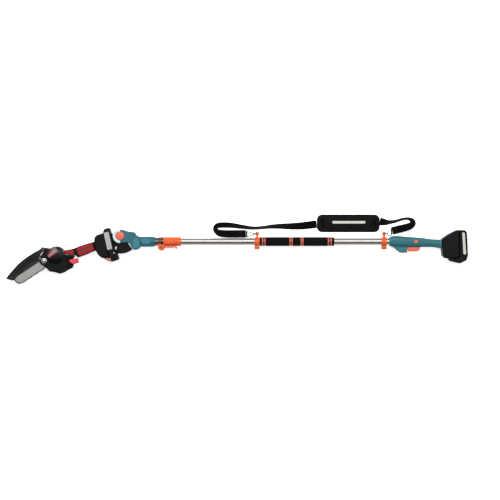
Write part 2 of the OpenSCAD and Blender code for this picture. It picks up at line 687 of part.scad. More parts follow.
latch_rear = rear_rail + [-34.5, -64.7];
case_pts = shifted([[0.3, 53], [pack_t - 10, 52], [pack_t - 5, 44], [pack_t, -45], [pack_t - 6, -65], [3, -77],
    [-27, -70], [-42, -59.4], [0.3, -55.8]], rear_rail);
module battery_case() color([0.07, 0.07, 0.07]) difference() {
    union() {
        in_pole() slab(case_pts, -rest_h, rest_h);
        at_rear_rail() rail_tongue();
    }
    in_pole() block(rear_rail.x + 4.6, rear_rail.x + 27.4, -58, 40, -34, 34);
    in_pole() at_latch(latch_rear) block(-6.5, 6.5, -4, 11.5, -18.5, 18.5);
}

module battery_cells() color([0.2, 0.5, 0.3]) in_pole() for (i = [0:4])
    along_z([rear_rail.x + 16, 29.5 - i * (cell_d + 0.6)], cell_d / 2, -cell_len / 2, cell_len / 2);

module battery_latch() color([0.1, 0.1, 0.1]) in_pole() at_latch(latch_rear) latch_button(12);

// ---- Chain guard, in the bar's frame ----
guard_z0 = 7;
guard_z1 = 21.6;
guard_pts = concat([[-16, 9.4], [-116.4, 9.3], [-127.4, 6.3], [-136.4, 3.4], [-146.4, 4.5], guard_tip, [-123.9, 37.3],
    [-89.4, 46.4], [-65.4, 49], [-40, 50.2], [-16, 49], [6, 47.5]],
    arc(guard_pivot, 9, 130, -60, 10), [[6, 31], [-8, 23]]);
module chain_guard() color([0.08, 0.08, 0.08]) in_bar() difference() {
    slab(guard_pts, guard_z0, guard_z1);
    slab([[8, -8], [-143, -8], [-143, 3], [-156.5, 21.5], [-122, 33.8], [-89, 43], [-40, 46.8], [4, 44.5], [4, 33],
        [8, 30]], guard_z0 + 2.2, guard_z1 - 2.2);
    along_z(guard_pivot, 2.5 + run_gap, 0, 30);
}

module guard_screw() color("dimgray") in_bar() {
    along_z(guard_pivot, 2.5, 1, guard_z1 + 0.3);
    along_z(guard_pivot, 5, guard_z1 + 0.2, guard_z1 + 3);
}

// ---- Strap: each run is a flat ribbon swept along its route; a point holds x, y, z and the roll ----
floor_z = -rest_h;
front_route = [[321.4, 30, 0, 0], [304, 30, -5, 0], [280, 30, -19, 0], [256, 30, -31, 3], [234, 31, -33, 12],
    [216, 34, -29, 32], [204, 43, -23, 52], [202, 54, -22, 56], [212, 63, -23, 50], [236, 65, -24, 46],
    [270, 63, -23, 52], [312, 57, -21, 60], [350, 53, -20, 68], [388, 55, -20, 68], [424, 59, -22, 60],
    [462, 60, -25, 48], [502, 60, -28, 34], [544, 62, -32, 16], [584, 67, -33, 2], [598, 68.5, -32, 0]];
rear_route = [[846, 79, -32, 0], [862, 77, -29, 30], [880, 76, -23, 58], [904, 79, -21, 68], [930, 87, -20, 72],
    [954, 90, -20, 72], [970, 84, -21, 62], [975, 73, -23, 48], [966, 62, -25, 30], [946, 55, -22, 14],
    [922, 49, -13, 4], [902, 44, -4, 0], [893, 42, 0, 0]];

function route_dir(r, i) = let (a = r[max(i - 1, 0)], b = r[min(i + 1, len(r) - 1)], d = [b.x - a.x, b.y - a.y, b.z - a.z])
    d / norm(d);
function ribbon_ring(r, i) =
    let (t = route_dir(r, i), side = cross([0, 0, 1], t) / norm(cross([0, 0, 1], t)), up = cross(t, side),
        w = cos(r[i][3]) * side + sin(r[i][3]) * up, n = cross(t, w), p = [r[i].x, r[i].y, r[i].z])
    [for (c = [[1, 1], [-1, 1], [-1, -1], [1, -1]]) p + c.x * w * webbing_w / 2 + c.y * n * webbing_t / 2];

module ribbon(route) {
    n = len(route);
    points = [for (i = [0:n - 1]) each ribbon_ring(route, i)];
    sides = [for (i = [0:n - 2], k = [0:3])
        let (a = 4 * i + k, b = 4 * i + (k + 1) % 4, c = a + 4, d = b + 4)
        each (k == 2 ? [[a, b, d], [a, d, c]] : [[a, b, c], [b, d, c]])];
    last = 4 * (n - 1);
    polyhedron(points, concat([[3, 2, 1], [3, 1, 0]], sides, [[last, last + 1, last + 2], [last, last + 2, last + 3]]));
}

// The strap hangs from the ears, so it lies as much higher as they do
function lifted(route) = [for (p = route) [p[0], p[1] + ear_y - 31, p[2], p[3]]];
module strap_front() color([0.06, 0.06, 0.06]) in_pole() ribbon(lifted(front_route));
module strap_rear() color([0.06, 0.06, 0.06]) in_pole() ribbon(lifted(rear_route));

pad_mid = [722.5, ear_y + 40.5];
module shoulder_pad() color([0.09, 0.09, 0.08]) in_pole() {
    c = 14;
    slab(shifted([[-pad_len / 2, -pad_w / 2 + c], [-pad_len / 2 + c, -pad_w / 2], [pad_len / 2 - c, -pad_w / 2],
        [pad_len / 2, -pad_w / 2 + c], [pad_len / 2, pad_w / 2 - c], [pad_len / 2 - c, pad_w / 2],
        [-pad_len / 2 + c, pad_w / 2], [-pad_len / 2, pad_w / 2 - c]], pad_mid), floor_z + 0.2, floor_z + 0.2 + pad_t);
}

guide_bar();
saw_chain();
drive_sprocket();
bar_knob();
sprocket_cover();
saw_body_left();
saw_body_right();
saw_motor();
motor_pinion();
output_gear();
saw_handle_left();
saw_handle_right();
saw_trigger();
saw_switch();
saw_lock_button();
saw_foot();
saw_terminals();
chain_guard();
guard_screw();
adapter_shell_left();
adapter_shell_right();
adapter_latch();
adapter_terminals();
swivel_sector();
head_shell_left();
head_shell_right();
angle_dial();
pivot_bolt();
pivot_button();
pivot_spring();
head_collar();
inner_tube();
tube_bush();
front_cable();
head_screws();
lock_body();
lock_lever();
lock_pin();
lock_band();
outer_tube();
coiled_cable();
foam_grip();
grip_rings();
strap_collars();
front_hook();
rear_ring();
rear_handle_left();
rear_handle_right();
rear_trigger();
trigger_spring();
rear_switch();
lockoff_button();
shell_screws();
battery_foot();
battery_case();
battery_cells();
battery_latch();
strap_front();
strap_rear();
shoulder_pad();
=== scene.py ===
import json
import math
from math import cos, pi, radians, sin

import bmesh
import bpy
from mathutils import Matrix, Vector


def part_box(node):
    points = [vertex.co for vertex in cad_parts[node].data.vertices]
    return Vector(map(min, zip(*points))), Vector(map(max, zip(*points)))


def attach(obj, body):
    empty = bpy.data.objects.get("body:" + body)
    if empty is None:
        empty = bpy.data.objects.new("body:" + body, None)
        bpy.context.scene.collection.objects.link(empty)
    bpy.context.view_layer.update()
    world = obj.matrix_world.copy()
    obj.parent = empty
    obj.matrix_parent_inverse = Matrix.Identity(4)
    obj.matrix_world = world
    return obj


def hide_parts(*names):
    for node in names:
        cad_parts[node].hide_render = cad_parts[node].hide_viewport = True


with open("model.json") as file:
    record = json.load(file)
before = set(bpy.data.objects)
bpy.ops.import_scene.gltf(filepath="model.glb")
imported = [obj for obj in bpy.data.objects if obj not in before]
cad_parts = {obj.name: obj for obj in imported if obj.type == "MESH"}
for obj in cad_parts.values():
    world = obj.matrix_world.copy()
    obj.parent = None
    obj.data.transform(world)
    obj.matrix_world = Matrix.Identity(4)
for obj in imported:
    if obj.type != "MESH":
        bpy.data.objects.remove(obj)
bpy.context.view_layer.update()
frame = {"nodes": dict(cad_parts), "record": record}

MM = 0.001
PLAIN = 0.01  # bevel of a cutter, small enough to be left out
HIDDEN = 0.05  # bevel of an edge that is not seen
LATCH_TILT = radians(-34.5)

# ---------------------------------------------------------------- frames
# Shapes are drawn in millimetres in the part's own frames and stored in metres in the row frame.


def middle(node):
    lo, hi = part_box(node)
    return (lo + hi) / 2


POLE_ORIGIN = Vector((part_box("outer_tube")[0].x, middle("outer_tube").y, middle("outer_tube").z))
HEAD_DROOP = 12.7
BAR_DROOP = 20.8
IN_POLE = Matrix.Translation(POLE_ORIGIN) @ Matrix.Scale(MM, 4)


def frame_at(node, degrees):
    place = middle(node)
    place.z = POLE_ORIGIN.z
    return Matrix.Translation(place) @ Matrix.Rotation(radians(degrees), 4, "Z") @ Matrix.Scale(MM, 4)


IN_HEAD = frame_at("pivot_bolt", HEAD_DROOP)
IN_BAR = frame_at("bar_knob", HEAD_DROOP + BAR_DROOP)
FLOOR_Z = -POLE_ORIGIN.z / MM

# ---------------------------------------------------------------- camera
CAMERA_HEIGHT = 7.0
VIEW_WIDTH = 1.95
SENSOR_WIDTH = 36
camera_data = bpy.data.cameras.new("camera")
camera_data.sensor_width = SENSOR_WIDTH
camera_data.lens = SENSOR_WIDTH * CAMERA_HEIGHT / VIEW_WIDTH
camera_data.clip_end = 60
camera = bpy.data.objects.new("camera", camera_data)
bpy.context.scene.collection.objects.link(camera)
camera.location = IN_POLE @ Vector((337.35, -32.96, 0)) + Vector((0, 0, CAMERA_HEIGHT))
bpy.context.scene.camera = camera

# ---------------------------------------------------------------- outlines


def arc(centre, radius, start, end, steps):
    out = []
    for i in range(steps + 1):
        a = radians(start + (end - start) * i / steps)
        out.append((centre[0] + radius * cos(a), centre[1] + radius * sin(a)))
    return out


def ccw(points):
    area = sum(a[0] * b[1] - b[0] * a[1] for a, b in zip(points, points[1:] + points[:1]))
    return list(points) if area > 0 else list(points)[::-1]


def rounded(points, radius, steps=4):
    """The outline with its corners rounded, each by a short curve."""
    pts = [Vector(p[:2]) for p in ccw(points)]
    out = []
    for i, p in enumerate(pts):
        before, after = pts[i - 1] - p, pts[(i + 1) % len(pts)] - p
        turn = pi - before.angle(after, 0)
        reach = min(radius * math.tan(min(turn, 2.6) / 2), 0.45 * before.length, 0.45 * after.length)
        if reach < 0.05 or turn < 0.12:
            out.append(tuple(p))
            continue
        a, b = p + before.normalized() * reach, p + after.normalized() * reach
        for k in range(steps + 1):
            t = k / steps
            out.append(tuple(a * (1 - t) ** 2 + p * 2 * t * (1 - t) + b * t * t))
    return out


def gap_to(outline, x, y):
    """Distance from a place to the nearest edge of a closed outline."""
    best = 1e9
    for (ax, ay), (bx, by) in zip(outline, outline[1:] + outline[:1]):
        ex, ey = bx - ax, by - ay
        size = ex * ex + ey * ey
        t = 0.0 if size < 1e-12 else min(1.0, max(0.0, ((x - ax) * ex + (y - ay) * ey) / size))
        dx, dy = x - ax - t * ex, y - ay - t * ey
        best = min(best, dx * dx + dy * dy)
    return math.sqrt(best)


def meeting(p, d, q, e):
    """Where two lines meet, or halfway between their starts."""
    cross = d.x * e.y - d.y * e.x
    if abs(cross) > 0.02:
        t = ((q.x - p.x) * e.y - (q.y - p.y) * e.x) / cross
        found = p + d * t
        if (found - p).length + (found - q).length < 3 * (p - q).length + 0.5:
            return found
    return (p + q) / 2


def inset(points, distance):
    """The outline moved inwards by a distance; loops that would cross collapse to a corner."""
    pts = [Vector(p[:2]) for p in points]
    count = len(pts)
    heads = [(pts[(i + 1) % count] - pts[i]).normalized() for i in range(count)]
    moved = []
    for i, p in enumerate(pts):
        d1, d2 = heads[i - 1], heads[i]
        n1, n2 = Vector((-d1.y, d1.x)), Vector((-d2.y, d2.x))
        moved.append(p + (n1 + n2) / max(0.35, 1 + n1.dot(n2)) * distance)
    if abs(distance) >= 0.8:
        flat = [(p.x, p.y) for p in pts]
        good = [gap_to(flat, q.x, q.y) > abs(distance) * 0.97 for q in moved]
        if any(good) and not all(good):
            fixed = list(moved)
            for i in range(count):
                if not good[i]:
                    a, b = i, i
                    while not good[a]:
                        a = (a - 1) % count
                    while not good[b]:
                        b = (b + 1) % count
                    fixed[i] = meeting(moved[a], heads[a], moved[b], heads[b - 1])
            moved = fixed
    return [tuple(q) for q in moved]


def box_outline(x0, x1, y0, y1):
    return [(x0, y0), (x1, y0), (x1, y1), (x0, y1)]


def shifted(points, dx, dy=0.0):
    return [(p[0] + dx, p[1] + dy) for p in points]


# ---------------------------------------------------------------- shapes


class Shape:
    """Mesh parts collected in one frame, in millimetres."""

    def __init__(self):
        self.bm = bmesh.new()
        self.settled = False

    def settle(self):
        """Faces made consistent and turned outwards."""
        bmesh.ops.recalc_face_normals(self.bm, faces=self.bm.faces)
        if self.bm.calc_volume(signed=True) < 0:
            bmesh.ops.reverse_faces(self.bm, faces=self.bm.faces)
        self.settled = True
        return self

    def ring(self, points, place):
        return [self.bm.verts.new(place @ Vector(p)) for p in points]

    def bridge(self, a, b):
        n = len(a)
        for i in range(n):
            self.bm.faces.new((a[i], a[(i + 1) % n], b[(i + 1) % n], b[i]))

    def plate(self, outline, z0, z1, top=0.6, bottom=None, holes=(), steps=3, place=Matrix()):
        """An outline made solid from z0 to z1 with rounded edges."""
        bottom = top if bottom is None else bottom
        levels = []
        for k in range(steps + 1):
            a = pi / 2 * k / steps
            levels.append((z0 + bottom * (1 - cos(a)), bottom * (1 - sin(a))))
        for k in range(steps + 1):
            a = pi / 2 * (1 - k / steps)
            levels.append((z1 - top * (1 - cos(a)), top * (1 - sin(a))))
        if max(top, bottom) < 0.02:
            levels = [(z0, 0.0), (z1, 0.0)]
        solid = Shape()
        for loop, way in [(ccw(outline), 1)] + [(ccw(h), -1) for h in holes]:
            rings = [solid.ring([(x, y, z) for x, y in inset(loop, way * d)], Matrix()) for z, d in levels]
            for a, b in zip(rings, rings[1:]):
                solid.bridge(a, b)
        bm = solid.bm
        bmesh.ops.remove_doubles(bm, verts=bm.verts[:], dist=1e-4)
        for z in (z0, z1):
            rim = [e for e in bm.edges if e.is_boundary and all(abs(v.co.z - z) < 1e-5 for v in e.verts)]
            bmesh.ops.triangle_fill(bm, use_beauty=True, use_dissolve=False, edges=rim)
        bm.transform(place)
        return self.join(solid)

    def join(self, other):
        if not other.settled:
            other.settle()
        self.settled = True
        data = bpy.data.meshes.new("join")
        other.bm.to_mesh(data)
        self.bm.from_mesh(data)
        bpy.data.meshes.remove(data)
        return self

    def box(self, x0, x1, y0, y1, z0, z1, bevel=0.5, radius=0.0, place=Matrix()):
        outline = box_outline(x0, x1, y0, y1)
        if radius:
            outline = rounded(outline, radius, 5)
        return self.plate(outline, z0, z1, bevel, place=place, steps=2)

    def lathe(self, profile, centre=(0, 0, 0), axis="Z", segments=48, start=0.0, sweep=360.0):
        """A profile of (radius, height) turned round an axis."""
        turn = {"Z": Matrix(), "X": Matrix.Rotation(pi / 2, 4, "Y"), "Y": Matrix.Rotation(-pi / 2, 4, "X")}[axis]
        place = Matrix.Translation(centre) @ turn
        whole = sweep >= 360
        solid = Shape()
        count = segments if whole else segments + 1
        rings = []
        for radius, height in profile:
            if radius < 1e-6:
                rings.append([solid.bm.verts.new(place @ Vector((0, 0, height)))])
                continue
            points = []
            for i in range(count):
                a = radians(start + sweep * i / segments)
                points.append((radius * cos(a), radius * sin(a), height))
            rings.append(solid.ring(points, place))
        closed = profile[0] == profile[-1]
        if closed:
            rings[-1] = rings[0]
        for a, b in zip(rings, rings[1:]):
            for i in range(count if whole else segments):
                j = (i + 1) % count
                quad = [a[i % len(a)], a[j % len(a)], b[j % len(b)], b[i % len(b)]]
                quad = list(dict.fromkeys(quad))
                if len(quad) > 2:
                    solid.bm.faces.new(quad)
        if not whole and closed:
            solid.bm.faces.new([r[0] for r in rings[:-1]])
            solid.bm.faces.new([r[-1] for r in rings[:-1]])
        if not closed:
            for ring in (rings[0], rings[-1]):
                if len(ring) > 2:
                    solid.bm.faces.new(ring)
        return self.join(solid)

    def loft(self, stations, power=2.6, count=40):
        """Sections across X: each station is x, y low, y high, half height in z."""
        rings = []
        solid = Shape()
        for x, low, high, half in stations:
            points = []
            for i in range(count):
                a = 2 * pi * i / count
                c, s = cos(a), sin(a)
                y = (low + high) / 2 + (high - low) / 2 * math.copysign(abs(c) ** (2 / power), c)
                points.append((x, y, half * math.copysign(abs(s) ** (2 / power), s)))
            rings.append(solid.ring(points, Matrix()))
        for a, b in zip(rings, rings[1:]):
            solid.bridge(a, b)
        solid.bm.faces.new(rings[0])
        solid.bm.faces.new(rings[-1])
        return self.join(solid)

    def wire(self, path, radius, closed=False, count=10):
        """A round wire along a path."""
        pts = [Vector(p) for p in path]
        solid = Shape()
        rings = []
        n = len(pts)
        for i, p in enumerate(pts):
            a = pts[i - 1] if closed or i else pts[0]
            b = pts[(i + 1) % n] if closed or i < n - 1 else pts[-1]
            along = (b - a).normalized()
            side = along.cross(Vector((0.02, 0.01, 1))).normalized()
            up = along.cross(side)
            ring = []
            for k in range(count):
                t = 2 * pi * k / count
                ring.append(p + radius * (cos(t) * side + sin(t) * up))
            rings.append(solid.ring(ring, Matrix()))
        for a, b in zip(rings, rings[1:] + (rings[:1] if closed else [])):
            solid.bridge(a, b)
        if not closed:
            solid.bm.faces.new(rings[0])
            solid.bm.faces.new(rings[-1])
        return self.join(solid)

    def screw(self, x, y, z, radius, place=Matrix()):
        """A pan-head screw with a hexagon socket, its head's top at z."""
        hexagon = arc((x, y), radius * 0.5, 0, 300, 5)
        self.plate(arc((x, y), radius, 0, 345, 23), z - 1.6, z, 0.4, 0.05, [hexagon], 2, place)
        self.plate(hexagon, z - 1.5, z - 1.2, 0.05, place=place, steps=1)
        return self

    def mesh(self, name, place):
        if not self.settled:
            self.settle()
        data = bpy.data.meshes.new(name)
        self.bm.to_mesh(data)
        data.transform(place)
        return data


def both_sides(inner, outer):
    """A side and its heights, on the lower side, then on the upper one."""
    return (-1, -outer, -inner), (1, inner, outer)


def both_faces(inner, outer, bevel):
    """A plate's heights and bevels on the lower face, then on the upper one."""
    return (-outer, -inner, HIDDEN, bevel), (inner, outer, bevel, HIDDEN)


def sheet(shape, nx, ny, top, bottom):
    """Two facing grids of places, closed round their rim."""
    grids = [[[shape.bm.verts.new(place(i, j)) for j in range(ny + 1)] for i in range(nx + 1)]
             for place in (top, bottom)]
    for grid in grids:
        for i in range(nx):
            for j in range(ny):
                shape.bm.faces.new((grid[i][j], grid[i + 1][j], grid[i + 1][j + 1], grid[i][j + 1]))
    rim = [(i, 0) for i in range(nx)] + [(nx, j) for j in range(ny)]
    rim += [(i, ny) for i in range(nx, 0, -1)] + [(0, j) for j in range(ny, 0, -1)]
    upper, lower = grids
    for (i, j), (k, m) in zip(rim, rim[1:] + rim[:1]):
        shape.bm.faces.new((upper[i][j], upper[k][m], lower[k][m], lower[i][j]))


def subtract(shape, *cutters):
    """The shape with each cutter taken out of it in turn."""
    solid = bpy.data.objects.new("solid", shape.mesh("solid", Matrix()))
    bpy.context.scene.collection.objects.link(solid)
    for cutter in cutters:
        tool = bpy.data.objects.new("tool", cutter.mesh("tool", Matrix()))
        bpy.context.scene.collection.objects.link(tool)
        modifier = solid.modifiers.new("cut", "BOOLEAN")
        modifier.operation, modifier.object, modifier.solver = "DIFFERENCE", tool, "EXACT"
        seen = solid.evaluated_get(bpy.context.evaluated_depsgraph_get())
        data = bpy.data.meshes.new_from_object(seen)
        solid.modifiers.clear()
        solid.data = data
        bpy.data.objects.remove(tool)
    out = Shape()
    out.bm.from_mesh(solid.data)
    out.settled = True
    bpy.data.objects.remove(solid)
    return out


def make(name, shape, place, material, body, slot, *nodes):
    data = shape.mesh(name, place)
    data.polygons.foreach_set("use_smooth", [True] * len(data.polygons))
    data.set_sharp_from_angle(angle=radians(38))
    data.materials.append(M[material])
    obj = bpy.data.objects.new(name, data)
    bpy.context.scene.collection.objects.link(obj)
    weighted = obj.modifiers.new("weighted", "WEIGHTED_NORMAL")
    weighted.keep_sharp = True
    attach(obj, body)
    if nodes:
        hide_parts(*nodes)
    return obj


def halves(names, shape, place, material, body, slot, nodes, gap=0.12):
    """A shape split at its parting line into a left and a right half."""
    for name, node, side in zip(names, nodes, (-1, 1)):
        half = Shape()
        half.bm = shape.bm.copy()
        geometry = half.bm.verts[:] + half.bm.edges[:] + half.bm.faces[:]
        cut = bmesh.ops.bisect_plane(half.bm, geom=geometry, plane_co=(0, 0, side * gap), plane_no=(0, 0, -side),
                                     clear_outer=True)
        edges = [e for e in cut["geom_cut"] if isinstance(e, bmesh.types.BMEdge)]
        bmesh.ops.triangle_fill(half.bm, use_beauty=True, use_dissolve=False, edges=edges)
        make(name, half, place, material, body, slot, node)


# ---------------------------------------------------------------- materials


class Nodes:
    def __init__(self, name):
        self.material = bpy.data.materials.new(name)
        self.material.use_nodes = True
        self.tree = self.material.node_tree
        self.shader = self.tree.nodes["Principled BSDF"]
        self.place = self.add("ShaderNodeTexCoord").outputs["Object"]

    def add(self, kind, **values):
        node = self.tree.nodes.new(kind)
        for key, value in values.items():
            setattr(node, key, value)
        return node

    def link(self, a, b):
        self.tree.links.new(a, b)

    def noise(self, scale, detail=4.0, stretch=None, roughness=0.55):
        source = self.place
        if stretch:
            mapping = self.add("ShaderNodeMapping")
            mapping.inputs["Scale"].default_value = stretch
            self.link(source, mapping.inputs["Vector"])
            source = mapping.outputs["Vector"]
        node = self.add("ShaderNodeTexNoise")
        node.inputs["Scale"].default_value = scale
        node.inputs["Detail"].default_value = detail
        node.inputs["Roughness"].default_value = roughness
        self.link(source, node.inputs["Vector"])
        return node.outputs["Fac"]

    def ramp(self, source, stops):
        node = self.add("ShaderNodeValToRGB")
        node.color_ramp.elements[0].position, node.color_ramp.elements[0].color = stops[0][0], (*stops[0][1], 1)
        node.color_ramp.elements[1].position, node.color_ramp.elements[1].color = stops[1][0], (*stops[1][1], 1)
        for position, colour in stops[2:]:
            node.color_ramp.elements.new(position).color = (*colour, 1)
        self.link(source, node.inputs["Fac"])
        return node.outputs["Color"]

    def span(self, source, low, high, start=0.3, end=0.7):
        node = self.add("ShaderNodeMapRange")
        node.inputs["From Min"].default_value, node.inputs["From Max"].default_value = start, end
        node.inputs["To Min"].default_value, node.inputs["To Max"].default_value = low, high
        self.link(source, node.inputs["Value"])
        return node.outputs["Result"]

    def math(self, operation, a, b=None):
        node = self.add("ShaderNodeMath", operation=operation)
        for value, socket in zip((a, b), node.inputs):
            if isinstance(value, (int, float)):
                socket.default_value = value
            elif value is not None:
                self.link(value, socket)
        return node.outputs["Value"]

    def bump(self, source, strength, distance, before=None):
        node = self.add("ShaderNodeBump")
        node.inputs["Strength"].default_value = strength
        node.inputs["Distance"].default_value = distance
        self.link(source, node.inputs["Height"])
        if before:
            self.link(before, node.inputs["Normal"])
        self.link(node.outputs["Normal"], self.shader.inputs["Normal"])
        return node.outputs["Normal"]

    def set(self, **values):
        for key, value in values.items():
            self.shader.inputs[key.replace("_", " ")].default_value = value


def shade(colour, factor):
    return tuple(min(1.0, c * factor) for c in colour)


def plastic(name, colour, rough=0.42, specular=0.35, mottle=0.12, grain=0.25, coat=0.0):
    """Moulded plastic: a fine spark-eroded grain, faint handling marks and a slow colour drift."""
    m = Nodes(name)
    drift = m.noise(22, 5)
    m.link(m.ramp(drift, [(0.3, shade(colour, 1 - mottle)), (0.7, shade(colour, 1 + mottle))]),
           m.shader.inputs["Base Color"])
    marks = m.noise(160, 6, (1, 3, 1))
    m.link(m.span(marks, rough - 0.09, rough + 0.1), m.shader.inputs["Roughness"])
    fine = m.bump(m.noise(2600, 2), grain, 0.00012)
    m.bump(m.noise(60, 3), 0.12, 0.0004, fine)
    m.set(Specular_IOR_Level=specular, Coat_Weight=coat, Coat_Roughness=0.2)
    return m.material


def metal(name, colour, rough=0.28, stretch=(2, 60, 60), scale=90, streak=0.16, anisotropy=0.0, bump=0.12):
    """Metal with fine lines along its drawing or grinding direction and a few duller patches."""
    m = Nodes(name)
    lines = m.noise(scale, 6, stretch, 0.65)
    m.link(m.ramp(lines, [(0.25, shade(colour, 1 - streak)), (0.75, shade(colour, 1 + streak))]),
           m.shader.inputs["Base Color"])
    patches = m.noise(30, 5)
    rough_base = m.span(patches, rough - 0.05, rough + 0.09)
    rough_line = m.span(lines, -0.06, 0.08)
    m.link(m.math("ADD", rough_base, rough_line), m.shader.inputs["Roughness"])
    m.bump(lines, bump, 0.00008)
    m.set(Metallic=1.0, Anisotropic=anisotropy)
    return m.material


def soft(name, colour, pitch, rough=0.92, sheen=0.04, attribute=False):
    """Woven cloth: two crossing sets of yarns, with fuzz and a slow fade."""
    m = Nodes(name)
    if attribute:
        source = m.add("ShaderNodeAttribute", attribute_name="run").outputs["Vector"]
    else:
        source = m.place
    split = m.add("ShaderNodeSeparateXYZ")
    m.link(source, split.inputs["Vector"])
    warp = m.math("SINE", m.math("MULTIPLY", split.outputs["X"], 2 * pi / pitch))
    weft = m.math("SINE", m.math("MULTIPLY", split.outputs["Y"], 2 * pi / (pitch * 1.25)))
    weave = m.math("MULTIPLY", warp, weft)
    fuzz = m.noise(1400, 3)
    height = m.math("ADD", weave, m.math("MULTIPLY", fuzz, 0.8))
    fade = m.noise(26, 5)
    tone = m.math("ADD", m.math("MULTIPLY", weave, 0.12), fade)
    m.link(m.ramp(tone, [(0.25, shade(colour, 0.6)), (0.8, shade(colour, 1.6))]), m.shader.inputs["Base Color"])
    m.link(m.span(fuzz, rough - 0.06, min(1.0, rough + 0.05)), m.shader.inputs["Roughness"])
    m.bump(height, 0.5, 0.0003)
    m.set(Specular_IOR_Level=0.07, Sheen_Weight=sheen, Sheen_Roughness=0.5)
    return m.material


def foam_material(name, colour):
    """Closed-cell foam: fine pits, and longer soft creases from gripping."""
    m = Nodes(name)
    cells = m.add("ShaderNodeTexVoronoi")
    cells.inputs["Scale"].default_value = 900
    m.link(m.place, cells.inputs["Vector"])
    drift = m.noise(18, 5, (1, 3, 3))
    m.link(m.ramp(drift, [(0.3, shade(colour, 0.7)), (0.75, shade(colour, 1.5))]), m.shader.inputs["Base Color"])
    pits = m.bump(cells.outputs["Distance"], 0.35, 0.0003)
    m.bump(drift, 0.2, 0.0012, pits)
    m.link(m.span(m.noise(240, 4), 0.66, 0.86), m.shader.inputs["Roughness"])
    m.set(Specular_IOR_Level=0.06)
    return m.material


def printed(name, colour, ink, rough=0.35, pitch=0.0):
    """A printed label: smooth film with faint print mottle and small scuffs."""
    m = Nodes(name)
    mottle = m.noise(120, 6, (1, 4, 1))
    m.link(m.ramp(mottle, [(0.32, shade(ink, 1)), (0.46, shade(colour, 0.92)), (0.75, shade(colour, 1.06))]),
           m.shader.inputs["Base Color"])
    m.link(m.span(m.noise(300, 5), rough - 0.08, rough + 0.12), m.shader.inputs["Roughness"])
    m.bump(m.noise(900, 2), 0.08, 0.00005)
    m.set(Specular_IOR_Level=0.3)
    return m.material


TEAL = (0.012, 0.105, 0.128)
BLACK = (0.0022, 0.0022, 0.002)
ORANGE = (0.64, 0.085, 0.014)
M = {
    "bar_steel": metal("bar_steel", (0.25, 0.25, 0.235), 0.45, (60, 2, 60), 60, 0.2),
    "chain_steel": metal("chain_steel", (0.10, 0.10, 0.10), 0.4, (1, 1, 1), 900, 0.35),
    "gear_steel": metal("gear_steel", (0.36, 0.36, 0.36), 0.32, (1, 1, 1), 700, 0.15),
    "bright_steel": metal("bright_steel", (0.30, 0.30, 0.295), 0.34, (1, 1, 1), 300, 0.12),
    "wire_steel": metal("wire_steel", (0.13, 0.13, 0.125), 0.42, (1, 1, 1), 260, 0.2),
    "dull_steel": metal("dull_steel", (0.10, 0.11, 0.115), 0.4, (1, 1, 1), 300, 0.2),
    "black_plastic": plastic("black_plastic", BLACK, 0.5, 0.1),
    "black_gloss": plastic("black_gloss", (0.002, 0.002, 0.002), 0.34, 0.12, 0.1, 0.08),
    "black_rubber": plastic("black_rubber", (0.004, 0.004, 0.0036), 0.66, 0.1, 0.2, 0.5),
    "guard_plastic": plastic("guard_plastic", (0.010, 0.010, 0.0095), 0.5, 0.2, 0.2, 0.4),
    "red_plastic": plastic("red_plastic", (0.26, 0.004, 0.008), 0.4, 0.14, 0.14, 0.12, 0.1),
    "trigger_red": plastic("trigger_red", (0.58, 0.026, 0.045), 0.32, 0.4, 0.08, 0.12, 0.2),
    "dark_red": plastic("dark_red", (0.05, 0.005, 0.008), 0.3, 0.4, 0.2, 0.1, 0.2),
    "teal_plastic": plastic("teal_plastic", TEAL, 0.44, 0.26, 0.08, 0.22),
    "teal_panel": plastic("teal_panel", (0.024, 0.15, 0.195), 0.42, 0.26, 0.08, 0.22),
    "orange_plastic": plastic("orange_plastic", ORANGE, 0.42, 0.26, 0.08, 0.2),
    "button_orange": plastic("button_orange", (0.60, 0.115, 0.055), 0.42, 0.35, 0.08, 0.2),
    # dial_plate: pale printed scale colour; on the pivot dial it also stands in for a painted highlight on the teal
    # boss
    "dial_plate": printed("dial_plate", (0.60, 0.67, 0.70), (0.52, 0.60, 0.63), 0.3),
    "tube_aluminium": metal("tube_aluminium", (0.30, 0.285, 0.275), 0.36, (0.04, 1, 1), 700, 0.02, 0.0, 0.008),
    "bush_plastic": plastic("bush_plastic", (0.66, 0.66, 0.62), 0.4, 0.4),
    "cable_rubber": plastic("cable_rubber", (0.012, 0.012, 0.012), 0.6, 0.25),
    "foam": foam_material("foam", (0.0035, 0.0033, 0.003)),
    "motor_case": plastic("motor_case", (0.02, 0.02, 0.02), 0.35, 0.4),
    "contact_brass": metal("contact_brass", (0.66, 0.47, 0.2), 0.25, (1, 1, 1), 500, 0.12),
    "cell_wrap": plastic("cell_wrap", (0.08, 0.3, 0.17), 0.25, 0.5),
    "webbing": soft("webbing", (0.0014, 0.0013, 0.0011), 0.0013, attribute=True),
    "pad_fabric": soft("pad_fabric", (0.0055, 0.0055, 0.005), 0.0011),
    "pad_binding": soft("pad_binding", (0.006, 0.006, 0.006), 0.0009),
    "thread": soft("thread", (0.035, 0.035, 0.034), 0.0006, 0.8),
    "label_white": printed("label_white", (0.33, 0.35, 0.37), (0.22, 0.23, 0.25)),
    "label_grey": printed("label_grey", (0.52, 0.52, 0.47), (0.40, 0.40, 0.36)),
    "label_pink": printed("label_pink", (0.36, 0.11, 0.14), (0.28, 0.07, 0.10)),
}
for part in frame["record"]["subparts"]:
    node = frame["nodes"][part["node"]]
    node.data.materials.clear()
    node.data.materials.append(M[part["material_slot"]])

# ---------------------------------------------------------------- strap

